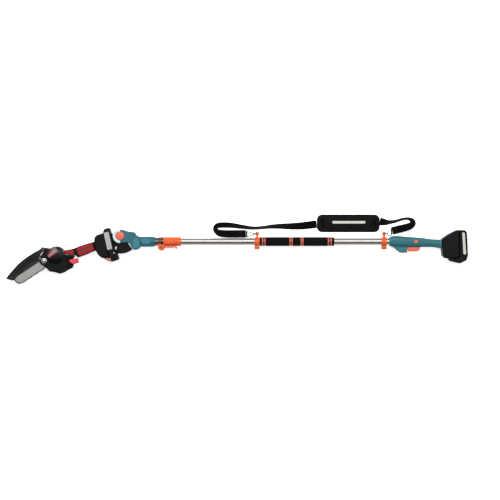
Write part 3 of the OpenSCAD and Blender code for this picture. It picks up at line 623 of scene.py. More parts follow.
WEBBING_WIDTH = 30.0
WEBBING_HALF = 1.0
FRONT_ROUTE = [(321.4, 30, 0, 0), (304, 30, -5, 0), (280, 30, -19, 0), (256, 30, -31, 3), (234, 31, -33, 12),
               (216, 34, -29, 32), (204, 43, -23, 52), (202, 54, -22, 56), (212, 63, -23, 50), (236, 65, -24, 46),
               (270, 63, -23, 52), (312, 57, -21, 60), (350, 53, -20, 68), (388, 55, -20, 68), (424, 59, -22, 60),
               (462, 60, -25, 48), (502, 60, -28, 34), (544, 62, -32, 16), (584, 67, -33, 2), (598, 68.5, -32, 0)]
REAR_ROUTE = [(846, 79, -32, 0), (862, 77, -29, 30), (880, 76, -23, 58), (904, 79, -21, 68), (930, 87, -20, 72),
              (954, 90, -20, 72), (970, 84, -21, 62), (975, 73, -23, 48), (966, 62, -25, 30), (946, 55, -22, 14),
              (922, 49, -13, 4), (902, 44, -4, 0), (893, 42, 0, 0)]


def smooth_route(route, per_span=6):
    """A Catmull-Rom curve through the route's points, roll included."""
    pts = [Vector(p) for p in route]
    out = []
    for i in range(len(pts) - 1):
        p0, p1, p2 = pts[max(i - 1, 0)], pts[i], pts[i + 1]
        p3 = pts[min(i + 2, len(pts) - 1)]
        for k in range(per_span):
            t = k / per_span
            out.append(0.5 * (2 * p1 + (p2 - p0) * t + (2 * p0 - 5 * p1 + 4 * p2 - p3) * t * t
                              + (3 * p1 - p0 - 3 * p2 + p3) * t ** 3))
    out.append(pts[-1])
    return out


def strap_side(points, i):
    a, b = points[max(i - 1, 0)], points[min(i + 1, len(points) - 1)]
    along = Vector((b[0] - a[0], b[1] - a[1], b[2] - a[2])).normalized()
    flat = Vector((0, 0, 1)).cross(along).normalized()
    up = along.cross(flat)
    roll = radians(points[i][3])
    across = cos(roll) * flat + sin(roll) * up
    return along, across, along.cross(across)


def ribbon(name, route, node):
    """Flat webbing along a route: thick selvedges, and its run stored for the weave."""
    points = smooth_route(route)
    half = WEBBING_WIDTH / 2
    section = [(-1, 0.0), (-0.985, 0.8), (-0.93, 1.0), (-0.86, 0.72), (-0.4, 0.8), (0, 0.78), (0.4, 0.8), (0.86, 0.72),
               (0.93, 1.0), (0.985, 0.8), (1, 0.0), (0.985, -0.8), (0.93, -1.0), (0.86, -0.72), (0.4, -0.8),
               (0, -0.78), (-0.4, -0.8), (-0.86, -0.72), (-0.93, -1.0), (-0.985, -0.8)]
    shape = Shape()
    run, length, rings = [], 0.0, []
    for i, p in enumerate(points):
        along, across, normal = strap_side(points, i)
        if i:
            length += (Vector(p[:3]) - Vector(points[i - 1][:3])).length
        ring = []
        for u, v in section:
            ring.append(shape.bm.verts.new(Vector(p[:3]) + across * u * half + normal * v * WEBBING_HALF))
            run.append((length * MM, u * half * MM, 0))
        rings.append(ring)
    for a, b in zip(rings, rings[1:]):
        shape.bridge(a, b)
    shape.bm.faces.new(rings[0])
    shape.bm.faces.new(rings[-1])
    bmesh.ops.recalc_face_normals(shape.bm, faces=shape.bm.faces)
    data = bpy.data.meshes.new(name)
    shape.bm.to_mesh(data)
    data.transform(IN_POLE)
    data.polygons.foreach_set("use_smooth", [True] * len(data.polygons))
    store = data.attributes.new("run", "FLOAT_VECTOR", "POINT")
    store.data.foreach_set("vector", [c for r in run for c in r])
    data.materials.append(M["webbing"])
    obj = bpy.data.objects.new(name, data)
    bpy.context.scene.collection.objects.link(obj)
    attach(obj, "root")
    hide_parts(node)
    return points


front_points = ribbon("strap_front_run", FRONT_ROUTE, "strap_front")
rear_points = ribbon("strap_rear_run", REAR_ROUTE, "strap_rear")


def stitch_rows(shape, points, start, end, offsets, step=1.0):
    """Short raised threads along a strap, on the face that looks up."""
    for offset in offsets:
        for i in range(start, end):
            for part in (0.15, 0.65):
                along, across, normal = strap_side(points, i)
                if normal.z < 0:
                    normal = -normal
                here = Vector(points[i][:3]).lerp(Vector(points[i + 1][:3]), part)
                base = here + across * offset + normal * (WEBBING_HALF * 0.85)
                shape.wire([base - along * step, base + normal * 0.3, base + along * step], 0.35, count=6)


stitches = Shape()
stitch_rows(stitches, front_points, 4, 9, (-11, -5, 5, 11))
stitch_rows(stitches, rear_points, len(rear_points) - 10, len(rear_points) - 5, (-11, -5, 5, 11))
make("strap_stitching", stitches, IN_POLE, "thread", "root", "webbing")

# Webbing folded round the hook's bar and the ring's bar, each with its sewn tail
folds = Shape()
for x, y, way in ((323.6, 30, 1), (891.0, 42.0, -1)):
    loop = []
    for k in range(13):
        a = radians(-100 + 200 * k / 12)
        loop.append((x + way * 2.6 * cos(a), 2.6 * sin(a)))
    outer = [(px + (px - x) * 0.55, pz * 1.55) for px, pz in loop]
    for side, (a, b) in enumerate(zip(loop, loop[1:])):
        c, d = outer[side + 1], outer[side]
        rings = []
        for yy in (y - 14, y + 14):
            rings.append(folds.ring([(a[0], yy, a[1]), (b[0], yy, b[1]), (c[0], yy, c[1]), (d[0], yy, d[1])], Matrix()))
        folds.bridge(rings[0], rings[1])
        folds.bm.faces.new(rings[0])
        folds.bm.faces.new(rings[1])
for points, i0, i1 in ((front_points, 1, 12), (rear_points, len(rear_points) - 13, len(rear_points) - 2)):
    rings = []
    for i in range(i0, i1 + 1):
        along, across, normal = strap_side(points, i)
        if normal.z > 0:
            normal = -normal
        here = Vector(points[i][:3]) + normal * 2.1
        rings.append(folds.ring([here + across * 14 * u + normal * 0.8 * v
                                 for u, v in ((-1, -1), (1, -1), (1, 1), (-1, 1))], Matrix()))
    for a, b in zip(rings, rings[1:]):
        folds.bridge(a, b)
    folds.bm.faces.new(rings[0])
    folds.bm.faces.new(rings[-1])
make("strap_folds", folds, IN_POLE, "pad_binding", "root", "webbing")

# ---------------------------------------------------------------- shoulder pad
PAD_MIDDLE = Vector((722.5, 71.5))
PAD_LENGTH, PAD_WIDTH, PAD_THICK = 243.0, 66.0, 12.0
PAD_CORNER = 20.0
PAD_BOTTOM = FLOOR_Z + 0.4


def pad_edge(x, y):
    """Distance inside the pad's rounded outline."""
    dx, dy = abs(x) - (PAD_LENGTH / 2 - PAD_CORNER), abs(y) - (PAD_WIDTH / 2 - PAD_CORNER)
    outside = math.hypot(max(dx, 0), max(dy, 0))
    return PAD_CORNER - outside - min(max(dx, dy), 0)


def pad_surface(x, y, corner):
    """Height of the pad's crowned top at a place and its distance from the edge."""
    crown = 1 - math.exp(-corner / 5.0)
    border = math.exp(-((corner - 5.5) / 1.1) ** 2)
    sag = 0.35 * sin(x * 0.06 + 1.1) * cos(y * 0.09)
    body = (PAD_THICK - 4.6) * crown * (0.92 + 0.08 * cos(pi * y / PAD_WIDTH))
    return PAD_BOTTOM + 2.6 + body + sag * crown - 1.6 * border


def pad_top(x, y):
    return pad_surface(x, y, max(pad_edge(x, y), 0.0))


def pad_form():
    """Both faces of the pad as one closed grid, crowned, with a sewn border."""
    columns, rows = 96, 30

    def spot(i, j):
        x, y = (2 * i / columns - 1) * PAD_LENGTH / 2, (2 * j / rows - 1) * PAD_WIDTH / 2
        corner = pad_edge(x, y)
        if corner >= 0:
            return x, y, corner
        cx = math.copysign(PAD_LENGTH / 2 - PAD_CORNER, x)
        cy = math.copysign(PAD_WIDTH / 2 - PAD_CORNER, y)
        away = Vector((x - cx, y - cy)).normalized() * PAD_CORNER
        return cx + away.x, cy + away.y, 0.0

    def top(i, j):
        x, y, corner = spot(i, j)
        return PAD_MIDDLE.x + x, PAD_MIDDLE.y + y, pad_surface(x, y, corner)

    def bottom(i, j):
        x, y, corner = spot(i, j)
        return PAD_MIDDLE.x + x, PAD_MIDDLE.y + y, PAD_BOTTOM + 1.9 * math.exp(-corner / 5.0)

    shape = Shape()
    sheet(shape, columns, rows, top, bottom)
    return shape


pad = make("shoulder_pad_body", pad_form(), IN_POLE, "pad_fabric", "root", "pad_fabric", "shoulder_pad")

pad_outline = rounded(box_outline(-PAD_LENGTH / 2, PAD_LENGTH / 2, -PAD_WIDTH / 2, PAD_WIDTH / 2), PAD_CORNER * 1.1, 8)
binding = Shape()
binding.wire([(PAD_MIDDLE.x + x * 0.999, PAD_MIDDLE.y + y * 0.997, PAD_BOTTOM + 2.4) for x, y in ccw(pad_outline)], 1.9,
             True, 10)
make("pad_binding_edge", binding, IN_POLE, "pad_binding", "root", "pad_fabric")


def patch(shape, outline_box, height, lift=0.25, step=2.0):
    """A thin cloth piece laid over the pad."""
    x0, x1, y0, y1 = outline_box
    nx, ny = max(2, int((x1 - x0) / step)), max(2, int((y1 - y0) / step))

    def raised(extra):
        def place(i, j):
            x, y = x0 + (x1 - x0) * i / nx, y0 + (y1 - y0) * j / ny
            inside = min(i, nx - i, j, ny - j)
            return PAD_MIDDLE.x + x, PAD_MIDDLE.y + y, height(x, y) + (extra if inside else extra * 0.3)
        return place

    sheet(shape, nx, ny, raised(lift), raised(0.0))


def seam(shape, points, height, step=2.4, radius=0.3):
    """A row of stitches over the pad along a closed or open run of points."""
    for a, b in zip(points, points[1:]):
        a, b = Vector(a), Vector(b)
        count = max(1, int((b - a).length / step))
        for k in range(count):
            p, q = a.lerp(b, (k + 0.15) / count), a.lerp(b, (k + 0.8) / count)
            row = []
            for t, up in ((0, 0.0), (0.5, 0.28), (1, 0.0)):
                s = p.lerp(q, t)
                row.append((PAD_MIDDLE.x + s.x, PAD_MIDDLE.y + s.y, height(s.x, s.y) + 0.1 + up))
            shape.wire(row, radius, count=6)


TAB = (-111.0, -88.0, -20.0, 20.0)
tab = Shape()
patch(tab, TAB, pad_top, 1.3, 1.5)
patch(tab, (98.0, 114.0, -17.0, 17.0), pad_top, 1.3, 1.5)
make("pad_tabs", tab, IN_POLE, "webbing", "root", "webbing")
sewing = Shape()
tab_line = [(-108.8, -17.8), (-90.2, -17.8), (-90.2, 17.8), (-108.8, 17.8), (-108.8, -17.8)]
seam(sewing, tab_line, lambda x, y: pad_top(x, y) + 1.3)
seam(sewing, [(-108.8, -17.8), (-90.2, 17.8)], lambda x, y: pad_top(x, y) + 1.3)
seam(sewing, [(100, -15), (112, -15), (112, 15), (100, 15), (100, -15)], lambda x, y: pad_top(x, y) + 1.3)
line_in = inset(ccw(pad_outline), 5.5)
seam(sewing, line_in + line_in[:1], pad_top, 3.0)
make("pad_sewing", sewing, IN_POLE, "thread", "root", "pad_fabric")
stripe = Shape()
patch(stripe, (-62.0, 66.0, -1.0, 9.0), pad_top, 0.35, 2.0)
make("pad_stripe", stripe, IN_POLE, "label_grey", "root", "pad_fabric")

# ---------------------------------------------------------------- guide bar and chain, in the bar's frame
BAR_Z = 14.0
BAR_HALF = 21.5
NOSE = (-114.5, 0.0)
SPINDLE = (50.0, 0.0)
bar_outline = arc(NOSE, BAR_HALF, 90, 270, 36) + [(18, -BAR_HALF), (37, -13), (37, 13), (18, BAR_HALF)]
slot_hole = arc((22, 0), 4, -90, 90, 8) + arc((-4, 0), 4, 90, 270, 8)
bar = Shape()
bar.plate(bar_outline, BAR_Z + 0.55, BAR_Z + 1.5, 0.2, holes=[slot_hole], steps=2)
bar.plate(bar_outline, BAR_Z - 1.5, BAR_Z - 0.55, 0.2, holes=[slot_hole], steps=2)
bar.plate(inset(ccw(bar_outline), 4.5), BAR_Z - 0.6, BAR_Z + 0.6, 0.1, holes=[slot_hole], steps=1)
make("bar_plates", bar, IN_BAR, "bar_steel", "saw", "bar_steel", "guide_bar")
marks = Shape()
for side in (-1, 1):
    face = BAR_Z + side * 1.5
    for k in range(5):
        a = 2 * pi * k / 5
        spot = (NOSE[0] + 8.5 * cos(a), 8.5 * sin(a), face)
        marks.lathe([(0, side * 0.35), (1.2, side * 0.35), (1.7, 0.0), (1.7, side * -0.3)], spot, segments=16)
    marks.lathe([(0, side * 0.3), (2.2, side * 0.3), (2.6, 0.0), (2.6, side * -0.3)], (*NOSE, face), segments=20)
    marks.lathe([(13.6, side * -0.2), (13.6, side * 0.12), (14.2, side * 0.12), (14.2, side * -0.2),
                 (13.6, side * -0.2)],
                (*NOSE, face), segments=48)
    for x, y in ((-52, 13), (-52, -13), (-20, 13), (-20, -13), (-84, 13), (-84, -13)):
        marks.lathe([(0, side * 0.1), (1.5, side * 0.1), (1.7, 0), (1.7, side * -0.2)], (x, y, face), segments=14)
make("bar_rivets", marks, IN_BAR, "gear_steel", "saw", "bar_steel")


def chain_loop():
    """The rivets' line round the bar's nose and the sprocket."""
    line = arc(NOSE, BAR_HALF + 2.2, 90, 270, 40) + [(18, -BAR_HALF - 2.2)]
    line += arc(SPINDLE, 12.2, -75, 75, 16) + [(18, BAR_HALF + 2.2)]
    return [Vector(p) for p in line]


def spaced(points, pitch, multiple=4):
    """Even points along a closed line, their count a whole multiple."""
    spans = [(b - a).length for a, b in zip(points, points[1:] + points[:1])]
    total = sum(spans)
    count = int(total / pitch / multiple) * multiple
    out, walked, i = [], 0.0, 0
    for k in range(count):
        goal = total * k / count
        while walked + spans[i] < goal:
            walked += spans[i]
            i += 1
        out.append(points[i].lerp(points[(i + 1) % len(points)], (goal - walked) / spans[i]))
    return out


chain = Shape()
rivets = spaced(chain_loop(), 6.35)
for i, here in enumerate(rivets):
    there = rivets[(i + 1) % len(rivets)]
    along = (there - here).normalized()
    out = Vector((along.y, -along.x))
    centre = (here + there) / 2
    place = Matrix(((along.x, out.x, 0, centre.x), (along.y, out.y, 0, centre.y), (0, 0, 1, BAR_Z), (0, 0, 0, 1)))
    half = (there - here).length / 2
    if i % 2:
        tang = [(-half - 1.9, -1.4), (-1.3, -5.6), (1.5, -5.6), (half + 1.9, -1.4), (half + 1.9, 1.2), (half, 2.1),
                (-half, 2.1), (-half - 1.9, 1.2)]
        chain.plate(tang, -0.6, 0.6, 0.1, steps=1, place=place)
    else:
        strap = rounded([(-half - 2.1, -2.0), (half + 2.1, -2.0), (half + 2.1, 2.0), (-half - 2.1, 2.0)], 2.0, 3)
        cutter = [(half + 2.2, -2.0), (half + 2.6, 4.2), (half - 2.4, 3.7), (half - 2.9, 1.0), (-half + 0.8, 1.0),
                  (-half - 0.2, 3.3), (-half - 2.3, 3.0), (-half - 2.2, -2.0)]
        for side, low, high in both_sides(0.7, 1.6):
            cuts = i % 4 == 0 and (side > 0) == (i % 8 == 0)
            chain.plate(cutter if cuts else strap, low, high, 0.12, steps=1, place=place)
            if cuts:
                low, high = sorted((side * 1.6, side * -0.9))
                chain.plate([(half - 2.4, 3.1), (half + 2.6, 3.4), (half + 2.7, 4.3), (half - 2.4, 3.8)], low, high,
                            0.1,
                            steps=1, place=place)
    chain.lathe([(0, -2.1), (0.9, -2.1), (1.2, -1.8), (1.2, 1.8), (0.9, 2.1), (0, 2.1)], (here.x, here.y, BAR_Z),
                segments=10)
make("chain_links", chain, IN_BAR, "chain_steel", "saw", "chain_steel", "saw_chain")

knob = Shape()
knob.lathe([(0, 5), (3, 5), (3, 31.0), (10.6, 31.0), (11.0, 31.6), (10.8, 32.6), (9.4, 33.2), (8.3, 33.3), (0, 33.3)])
hex_nut = rounded(arc((0, 0), 8.4, 0, 300, 5), 1.0, 3)
knob.plate(hex_nut, 33.0, 35.6, 0.8)
dome_profile = [(7.0 * cos(radians(a)), 35.2 + 2.1 * sin(radians(a))) for a in range(0, 90, 12)]
knob.lathe([(7.0, 34.8)] + dome_profile + [(0, 37.3)])
make("bar_nut", knob, IN_BAR, "bright_steel", "saw", "bright_steel", "bar_knob")

# ---------------------------------------------------------------- chain guard
GUARD_PIVOT = (19.7, 40.7)
guard_outline = [(-16, 9.4), (-116.4, 9.3), (-127.4, 6.3), (-136.4, 3.4), (-146.4, 4.5), (-163, 24.2), (-150, 29.5),
                 (-123.9, 37.3), (-89.4, 46.4), (-65.4, 49), (-40, 50.2), (-16, 49), (6, 47.5)]
guard_outline += arc(GUARD_PIVOT, 9, 130, -60, 14) + [(6, 31), (-8, 23)]
guard_edge = rounded(guard_outline, 3.0, 3)
guard = Shape()
guard.plate(guard_edge, 7.0, 9.2, 0.8, steps=2)
guard.plate(guard_edge, 19.4, 21.2, 0.9, 0.3, steps=3)
top_wall = [(-163, 24.2), (-150, 29.5), (-123.9, 37.3), (-89.4, 46.4), (-65.4, 49), (-40, 50.2), (-16, 49), (6, 47.5)]
inner = [(4, 44.5), (-16, 45.8), (-40, 46.8), (-65.4, 45.8), (-89, 43), (-122, 33.8), (-148, 26.5), (-156, 22),
         (-143, 5.6), (-146.4, 4.5)]
guard.plate(ccw(top_wall + inner), 9.0, 19.6, 0.1, steps=1)
guard.lathe([(2.6, 7), (9, 7), (9, 21.0), (8.2, 21.8), (4.8, 21.8), (2.6, 21.8), (2.6, 7)], (*GUARD_PIVOT, 0),
            segments=36)
make("guard_shell", guard, IN_BAR, "guard_plastic", "guard", "black_plastic", "chain_guard")
ribs = Shape()


def band(shape, upper, lower, z0, z1, bevel=0.5):
    shape.plate(rounded(upper + lower[::-1], 1.5, 2), z0, z1, bevel, 0.05, steps=2)


upper_line = [(-152, 24.5), (-122, 33.0), (-88, 41.5), (-60, 44.3), (-34, 45.2), (-6, 43.5)]
for drop, width in ((0.0, 5.0), (9.0, 6.5), (19.5, 5.5)):
    scale = 1 - drop / 62
    top = [(x * scale - drop * 0.55, y - drop * (0.55 + 0.45 * (x + 152) / 146)) for x, y in upper_line]
    low = [(x * 0.985, y - width * (0.45 + 0.55 * (x + 152) / 146)) for x, y in top]
    band(ribs, top, low, 21.0, 22.3)
for x, y, r in ((-12, 44, 3.2), (-4, 33, 2.4)):
    ribs.lathe([(0, 23.4), (r - 0.8, 23.4), (r, 22.6), (r, 21)], (x, y, 0), segments=24)
make("guard_ribs", ribs, IN_BAR, "black_rubber", "guard", "black_plastic")
bolt = Shape().screw(*GUARD_PIVOT, 24.4, 5.0)
bolt.lathe([(0, 0.5), (2.5, 0.5), (2.5, 23.2), (0, 23.2)], (*GUARD_PIVOT, 0), segments=24)
make("guard_bolt", bolt, IN_BAR, "chain_steel", "saw", "gear_steel", "guard_screw")

# ---------------------------------------------------------------- saw housing, in the head's frame
STUD = IN_HEAD.inverted() @ IN_BAR @ Vector((0, 0, 0))
DOME = (-262.0, -22.0)
DOME_RADIUS = 32.5
DOME_FOOT, DOME_RISE = 30.2, 5.2


def bar_to_head(p):
    q = IN_HEAD.inverted() @ IN_BAR @ Vector((p[0], p[1], 0))
    return (q.x, q.y)


body_outline = arc(DOME, 37.5, 12, 172, 30)
body_outline += [(-303, -45), (-306.5, -66), (-300, -75.5), (-276, -85), (-264, -93), (-246, -91), (-228, -84),
                 (-211, -81), (-203.5, -68), (-203.5, -48), (-189.5, -36)]
nose_cut = [(-186, -8.3), (-205, -8.3), (-233.5, -5.4), (-233, -22.6), (-189.2, -35), (-181, -48)]
body_edge = rounded(body_outline, 6, 4)
cutters = (Shape().plate(nose_cut, -40, 40, PLAIN, steps=1), Shape().box(-217, -190, -72, -41.4, -9.6, 9.6, PLAIN))
left = subtract(Shape().plate(body_edge, -36, -0.12, 0.3, 5.0, steps=4), *cutters)
make("saw_shell_left", left, IN_HEAD, "black_plastic", "saw", "black_plastic", "saw_body_left")
right = subtract(Shape().plate(body_edge, 0.12, 9.0, 1.2, 0.3, steps=3), *cutters)
right.plate(rounded(arc(STUD[:2], 16, 110, 250, 14) + [(-288, -60), (-283, -5)], 2), 0.2, 9.0, 0.8)
arm = [bar_to_head(p) for p in arc(GUARD_PIVOT, 8, 60, 200, 12) + [(24, 6), (48, 2), (50, 24)]]
right.plate(rounded(arm, 2), 0.2, 6.5, 0.6)
make("saw_shell_right", right, IN_HEAD, "black_plastic", "saw", "black_plastic", "saw_body_right")

cover_edge = arc(DOME, 36.5, 14, 116, 20) + [bar_to_head(p) for p in ((26, 30.5), (9, 29), (-5, 19))]
cover_edge += arc(STUD[:2], 17, 125, 250, 18)
cover_edge += [(-304, -66), (-298, -74), (-275, -82), (-264, -88.5), (-246, -86), (-232, -80), (-224, -60)]
cover_edge = rounded(cover_edge, 7, 4)
cover_cut = Shape().plate(nose_cut, 0, 40, PLAIN, steps=1)
bar_gap = [bar_to_head(p) for p in ((-60, -30), (42, -30), (42, 30), (-60, 30))]
bar_space = Shape().plate(bar_gap, 5, 19, PLAIN, steps=1)
cover = subtract(Shape().plate(cover_edge, 9.5, 30.5, 4.5, 0.4, steps=6), cover_cut, bar_space)
make("cover_shell", cover, IN_HEAD, "black_plastic", "saw", "black_plastic", "sprocket_cover")


def dome_height(r):
    """Height of the cover's raised dome at a distance from its middle."""
    return DOME_FOOT + DOME_RISE * max(0.0, 1 - (r / DOME_RADIUS) ** 2.6) ** 0.8


details = Shape()
profile = [(r, dome_height(r)) for r in (DOME_RADIUS, 32, 31, 29, 26, 22, 17, 11, 5)]
details.lathe([(DOME_RADIUS, 28)] + profile + [(0, dome_height(0))], (*DOME, 0), segments=72)
details.lathe([(12.2, 29), (12.4, 32.0), (13.2, 32.8), (15.4, 32.8), (16.6, 31.6), (17.0, 29.5), (12.2, 29)],
              (STUD.x, STUD.y, 0), segments=48)
for k in range(5):
    x = -292 + 11.5 * k
    y = -68.5 - 2.2 * k + 0.35 * k * k
    details.plate(rounded([(x, y - 7), (x + 6, y - 8), (x + 7, y + 8), (x + 1, y + 9)], 2, 3), 30, 31.7, 0.7, 0.05)
details.plate(rounded([(-243, -74), (-232, -68), (-233, -47), (-243, -52)], 3), 30, 31.8, 0.7, 0.05)
make("cover_details", details, IN_HEAD, "black_gloss", "saw", "black_plastic")


def laid(shape, centre, angle, length, width, lift):
    """A label bent over the dome."""
    u = Vector((cos(radians(angle)), sin(radians(angle))))
    v = Vector((-u.y, u.x))
    nx, ny = 24, 10

    def above(up):
        def place(i, j):
            p = Vector(centre) + u * length * (i / nx - 0.5) + v * width * (j / ny - 0.5)
            return p.x, p.y, dome_height((p - Vector(DOME)).length) + up
        return place

    sheet(shape, nx, ny, above(lift), above(lift - 0.3))


backing = Shape()
laid(backing, (-272.5, -5.0), 26, 46, 26, 0.25)
make("dome_label_backing", backing, IN_HEAD, "dark_red", "saw", "red_plastic")
front_label = Shape()
laid(front_label, (-273, -9.4), 26, 37, 10.5, 0.5)
make("dome_label", front_label, IN_HEAD, "label_pink", "saw", "red_plastic")

vents = Shape()
for k in range(9):
    a = radians(30 + 14 * k)
    x, y = DOME[0] + 37.2 * cos(a), DOME[1] + 37.2 * sin(a)
    turn = Matrix.Translation((x, y, 0)) @ Matrix.Rotation(a, 4, "Z")
    vents.box(-1.0, 0.7, -2.2, 2.2, -28, -8, 0.4, 0.6, turn)
for k in range(5):
    vents.lathe([(6 + 4.4 * k, -36.2), (6 + 4.4 * k, -36.9), (8 + 4.4 * k, -36.9), (8 + 4.4 * k, -36.2),
                 (6 + 4.4 * k, -36.2)], (-259, -48, 0), segments=48)
make("motor_vents", vents, IN_HEAD, "black_gloss", "saw", "black_plastic")
body_screws = Shape()
for x, y in ((-291, -50), (-240, -68), (-262, 6), (-214, -74)):
    flip = Matrix.Translation((x, y, -36)) @ Matrix.Rotation(pi, 4, "X")
    body_screws.screw(0, 0, 1.0, 3.2, flip)
make("saw_screws", body_screws, IN_HEAD, "chain_steel", "saw", "gear_steel")

# Red handle with its black soft grip
handle_outline = [(-105.6, -6), (-104.5, -0.9), (-114.6, -0.9), (-131, -1.5), (-164, -4.5), (-189, -9.1), (-205, -9.1),
                  (-228, -6.8), (-232, -22), (-189, -34.5), (-181, -46), (-173, -46), (-156, -44), (-140, -41.3),
                  (-123, -37.8), (-105.6, -34.8)]
core = subtract(Shape().plate(rounded(handle_outline, 4, 4), -15, 15, 4.0, steps=5),
                Shape().box(-217, -177.6, -60, -38, -9.6, 9.6, PLAIN))
halves(("grip_core_left", "grip_core_right"), core, IN_HEAD, "black_rubber", "saw", "red_plastic",
       ("saw_handle_left", "saw_handle_right"))
panels = Shape()
panel = [(-112, -4.6), (-131, -5.4), (-163, -8.4), (-179, -12), (-177, -28), (-173.5, -42.2), (-156, -40.6),
         (-140, -38),
         (-112, -32.4)]
slit = rounded([(-121, -13.8), (-121.4, -18.6), (-168.4, -27.3), (-167.8, -22.4)], 2, 4)
for face in both_faces(14.2, 16.0, 1.0):
    panels.plate(rounded(panel, 6, 5), *face, [slit], 3)
nose_panel = [(-190.5, -11.6), (-205, -11.6), (-226, -9.4), (-229.2, -20.6), (-191.5, -31.4)]
panels.plate(rounded(nose_panel, 3, 4), 14.2, 16.0, 1.0, 0.05)
panels.plate(rounded(nose_panel, 3, 4), -16.0, -14.2, 0.05, 1.0)
make("grip_panels", panels, IN_HEAD, "red_plastic", "saw", "red_plastic")
slits = Shape()
for side, low, high in both_sides(14.0, 15.2):
    slits.plate(inset(slit, 0.1), low, high, 0.1, steps=1)
    low, high = sorted((side * 15.6, side * 16.5))
    slits.plate(rounded(box_outline(-210, -201.6, -20.4, -14.4), 2, 4), low, high, 0.4, 0.05)
make("grip_slits", slits, IN_HEAD, "dark_red", "saw", "red_plastic")
lock = Shape().box(-214, -202, -17, -8.2, -5, 5, 1.0, 1.5)
for k in range(3):
    lock.box(-212.2 + 3 * k, -210.8 + 3 * k, -8.6, -7.9, -4, 4, 0.2)
make("saw_lock_cap", lock, IN_HEAD, "black_rubber", "saw_lock", "black_plastic", "saw_lock_button")
trigger_outline = [(-216, -47), (-216, -58), (-204, -68), (-190, -67.5), (-178.6, -67), (-181.5, -57), (-179.5, -48.5)]
trigger = Shape().plate(rounded(trigger_outline, 3.0, 5), -9, 9, 2.5, steps=5)
make("saw_trigger_blade", trigger, IN_HEAD, "trigger_red", "saw_trigger", "red_plastic", "saw_trigger")

# ---------------------------------------------------------------- slide rails
RAIL_HALF = 38.0


def rail_cutters(x, y):
    return (Shape().box(x - 5, x + 1, y - 76, y + 38.5, -17.5, 17.5, PLAIN),
            Shape().box(x - 9, x - 4, y - 76, y + 38.5, -22.5, 22.5, PLAIN))


def rail_tongue(shape, x, y):
    shape.box(x - 5, x + 0.4, y - RAIL_HALF, y + RAIL_HALF, -17, 17, 0.3)
    shape.box(x - 8.5, x - 4.5, y - RAIL_HALF, y + RAIL_HALF, -22, 22, 0.6)


# ---------------------------------------------------------------- saw foot and adapter, in the head's frame
HEAD_RAIL = (-61.0, -22.0)
foot_outline = [(-61.3, 24), (-64.5, 24.5), (-88, 22), (-98.5, 14.6), (-104, -2), (-105, -35), (-99, -55), (-89, -68.5),
                (-79, -73), (-76, -69.4), (-61.3, -69.4)]
foot = subtract(Shape().plate(rounded(foot_outline, 6, 4), -37, 37, 4.5, steps=5), *rail_cutters(*HEAD_RAIL))
for _, low, high in both_sides(36.4, 37.4):
    face = rounded([(-68, 16), (-86, 14), (-93, 8), (-98, -6), (-98.6, -34), (-93, -50), (-86, -60), (-68, -62)], 6, 5)
    hole = rounded([(-70.5, 12.5), (-85, 11), (-90.5, 6), (-95, -7), (-95.5, -33), (-90.5, -48), (-84.5, -57),
                    (-70.5, -58.5)],
                   5, 5)
    foot.plate(face, low, high, 0.3, holes=[hole], steps=1)
make("foot_shell", foot, IN_HEAD, "black_plastic", "saw", "black_plastic", "saw_foot")
ridges = Shape()
for k in range(6):
    y = -2 - 7.5 * k
    x = -104.6 if y > -36 else -103.4
    ridges.box(x - 0.5, x + 1.5, y - 1.6, y + 1.6, -27, 27, 0.5, 0.6)
for _, low, high in both_sides(36.8, 37.35):
    for k in range(3):
        ridges.box(-92 + 7 * k, -89.5 + 7 * k, -40, -8, low, high, 0.2, 1.0)
make("foot_ridges", ridges, IN_HEAD, "black_rubber", "saw", "black_plastic")

adapter_outline = [(-61, 31), (-57, 34), (-54, 39), (-35.5, 39.5), (-32.8, 31), (-33.5, -43), (-27, -67.5),
                   (-24.5, -89),
                   (-53, -92), (-77.5, -75.8), (-76, -70), (-61, -70)]
adapter_edge = rounded(adapter_outline, 4.5, 4)
latch_place = Matrix.Translation((-65.2, -83.9, 0)) @ Matrix.Rotation(LATCH_TILT, 4, "Z")
latch_space = Shape().plate([(-11, -4), (11, -4), (11, 11.5), (-11, 11.5)], -18.5, 18.5, PLAIN, steps=1,
                            place=latch_place)
neck_space = Shape().box(-38, -20, -70, 18, -15.6, 15.6, PLAIN)
rail_space = Shape().box(-62, -57, HEAD_RAIL[1] - 38.2, HEAD_RAIL[1] + 38.2, -17.2, 17.2, PLAIN)
adapter = subtract(Shape().plate(adapter_edge, -37.2, 37.2, 3.6, steps=5), latch_space, neck_space, rail_space)
halves(("adapter_left", "adapter_right"), adapter, IN_HEAD, "black_plastic", "adapter", "black_plastic",
       ("adapter_shell_left", "adapter_shell_right"))
trim = Shape()
for _, low, high in both_sides(36.8, 37.45):
    frame_line = rounded(box_outline(-61.3, -38.2, -46, 27.2), 2.5, 4)
    trim.plate(frame_line, low, high, 0.2, holes=[rounded(box_outline(-60.2, -39.4, -44, 25.2), 1.5, 4)], steps=1)
    for k in range(4):
        trim.plate([(-44 + 3.4 * k, -51 - 3 * k), (-42.4 + 3.4 * k, -51 - 3 * k), (-41 + 3.4 * k, -84),
                    (-42.6 + 3.4 * k, -84)],
                   low, high, 0.2, steps=1)
for k in range(5):
    trim.box(-52.5 + 3.4 * k, -50.7 + 3.4 * k, 39.0, 39.9, -26, 26, 0.3)
for k in range(7):
    trim.box(-33.2, -32.2, -36 + 9.5 * k, -33.5 + 9.5 * k, 18.5, 33, 0.3)
    trim.box(-33.2, -32.2, -36 + 9.5 * k, -33.5 + 9.5 * k, -33, -18.5, 0.3)
make("adapter_trim", trim, IN_HEAD, "black_gloss", "adapter", "black_plastic")
label = Shape().plate(rounded(box_outline(-59.6, -40.0, -43.4, 24.6), 1.2, 4), 37.0, 37.42, 0.12, steps=1)
make("adapter_label", label, IN_HEAD, "label_white", "adapter", "dial_plate")
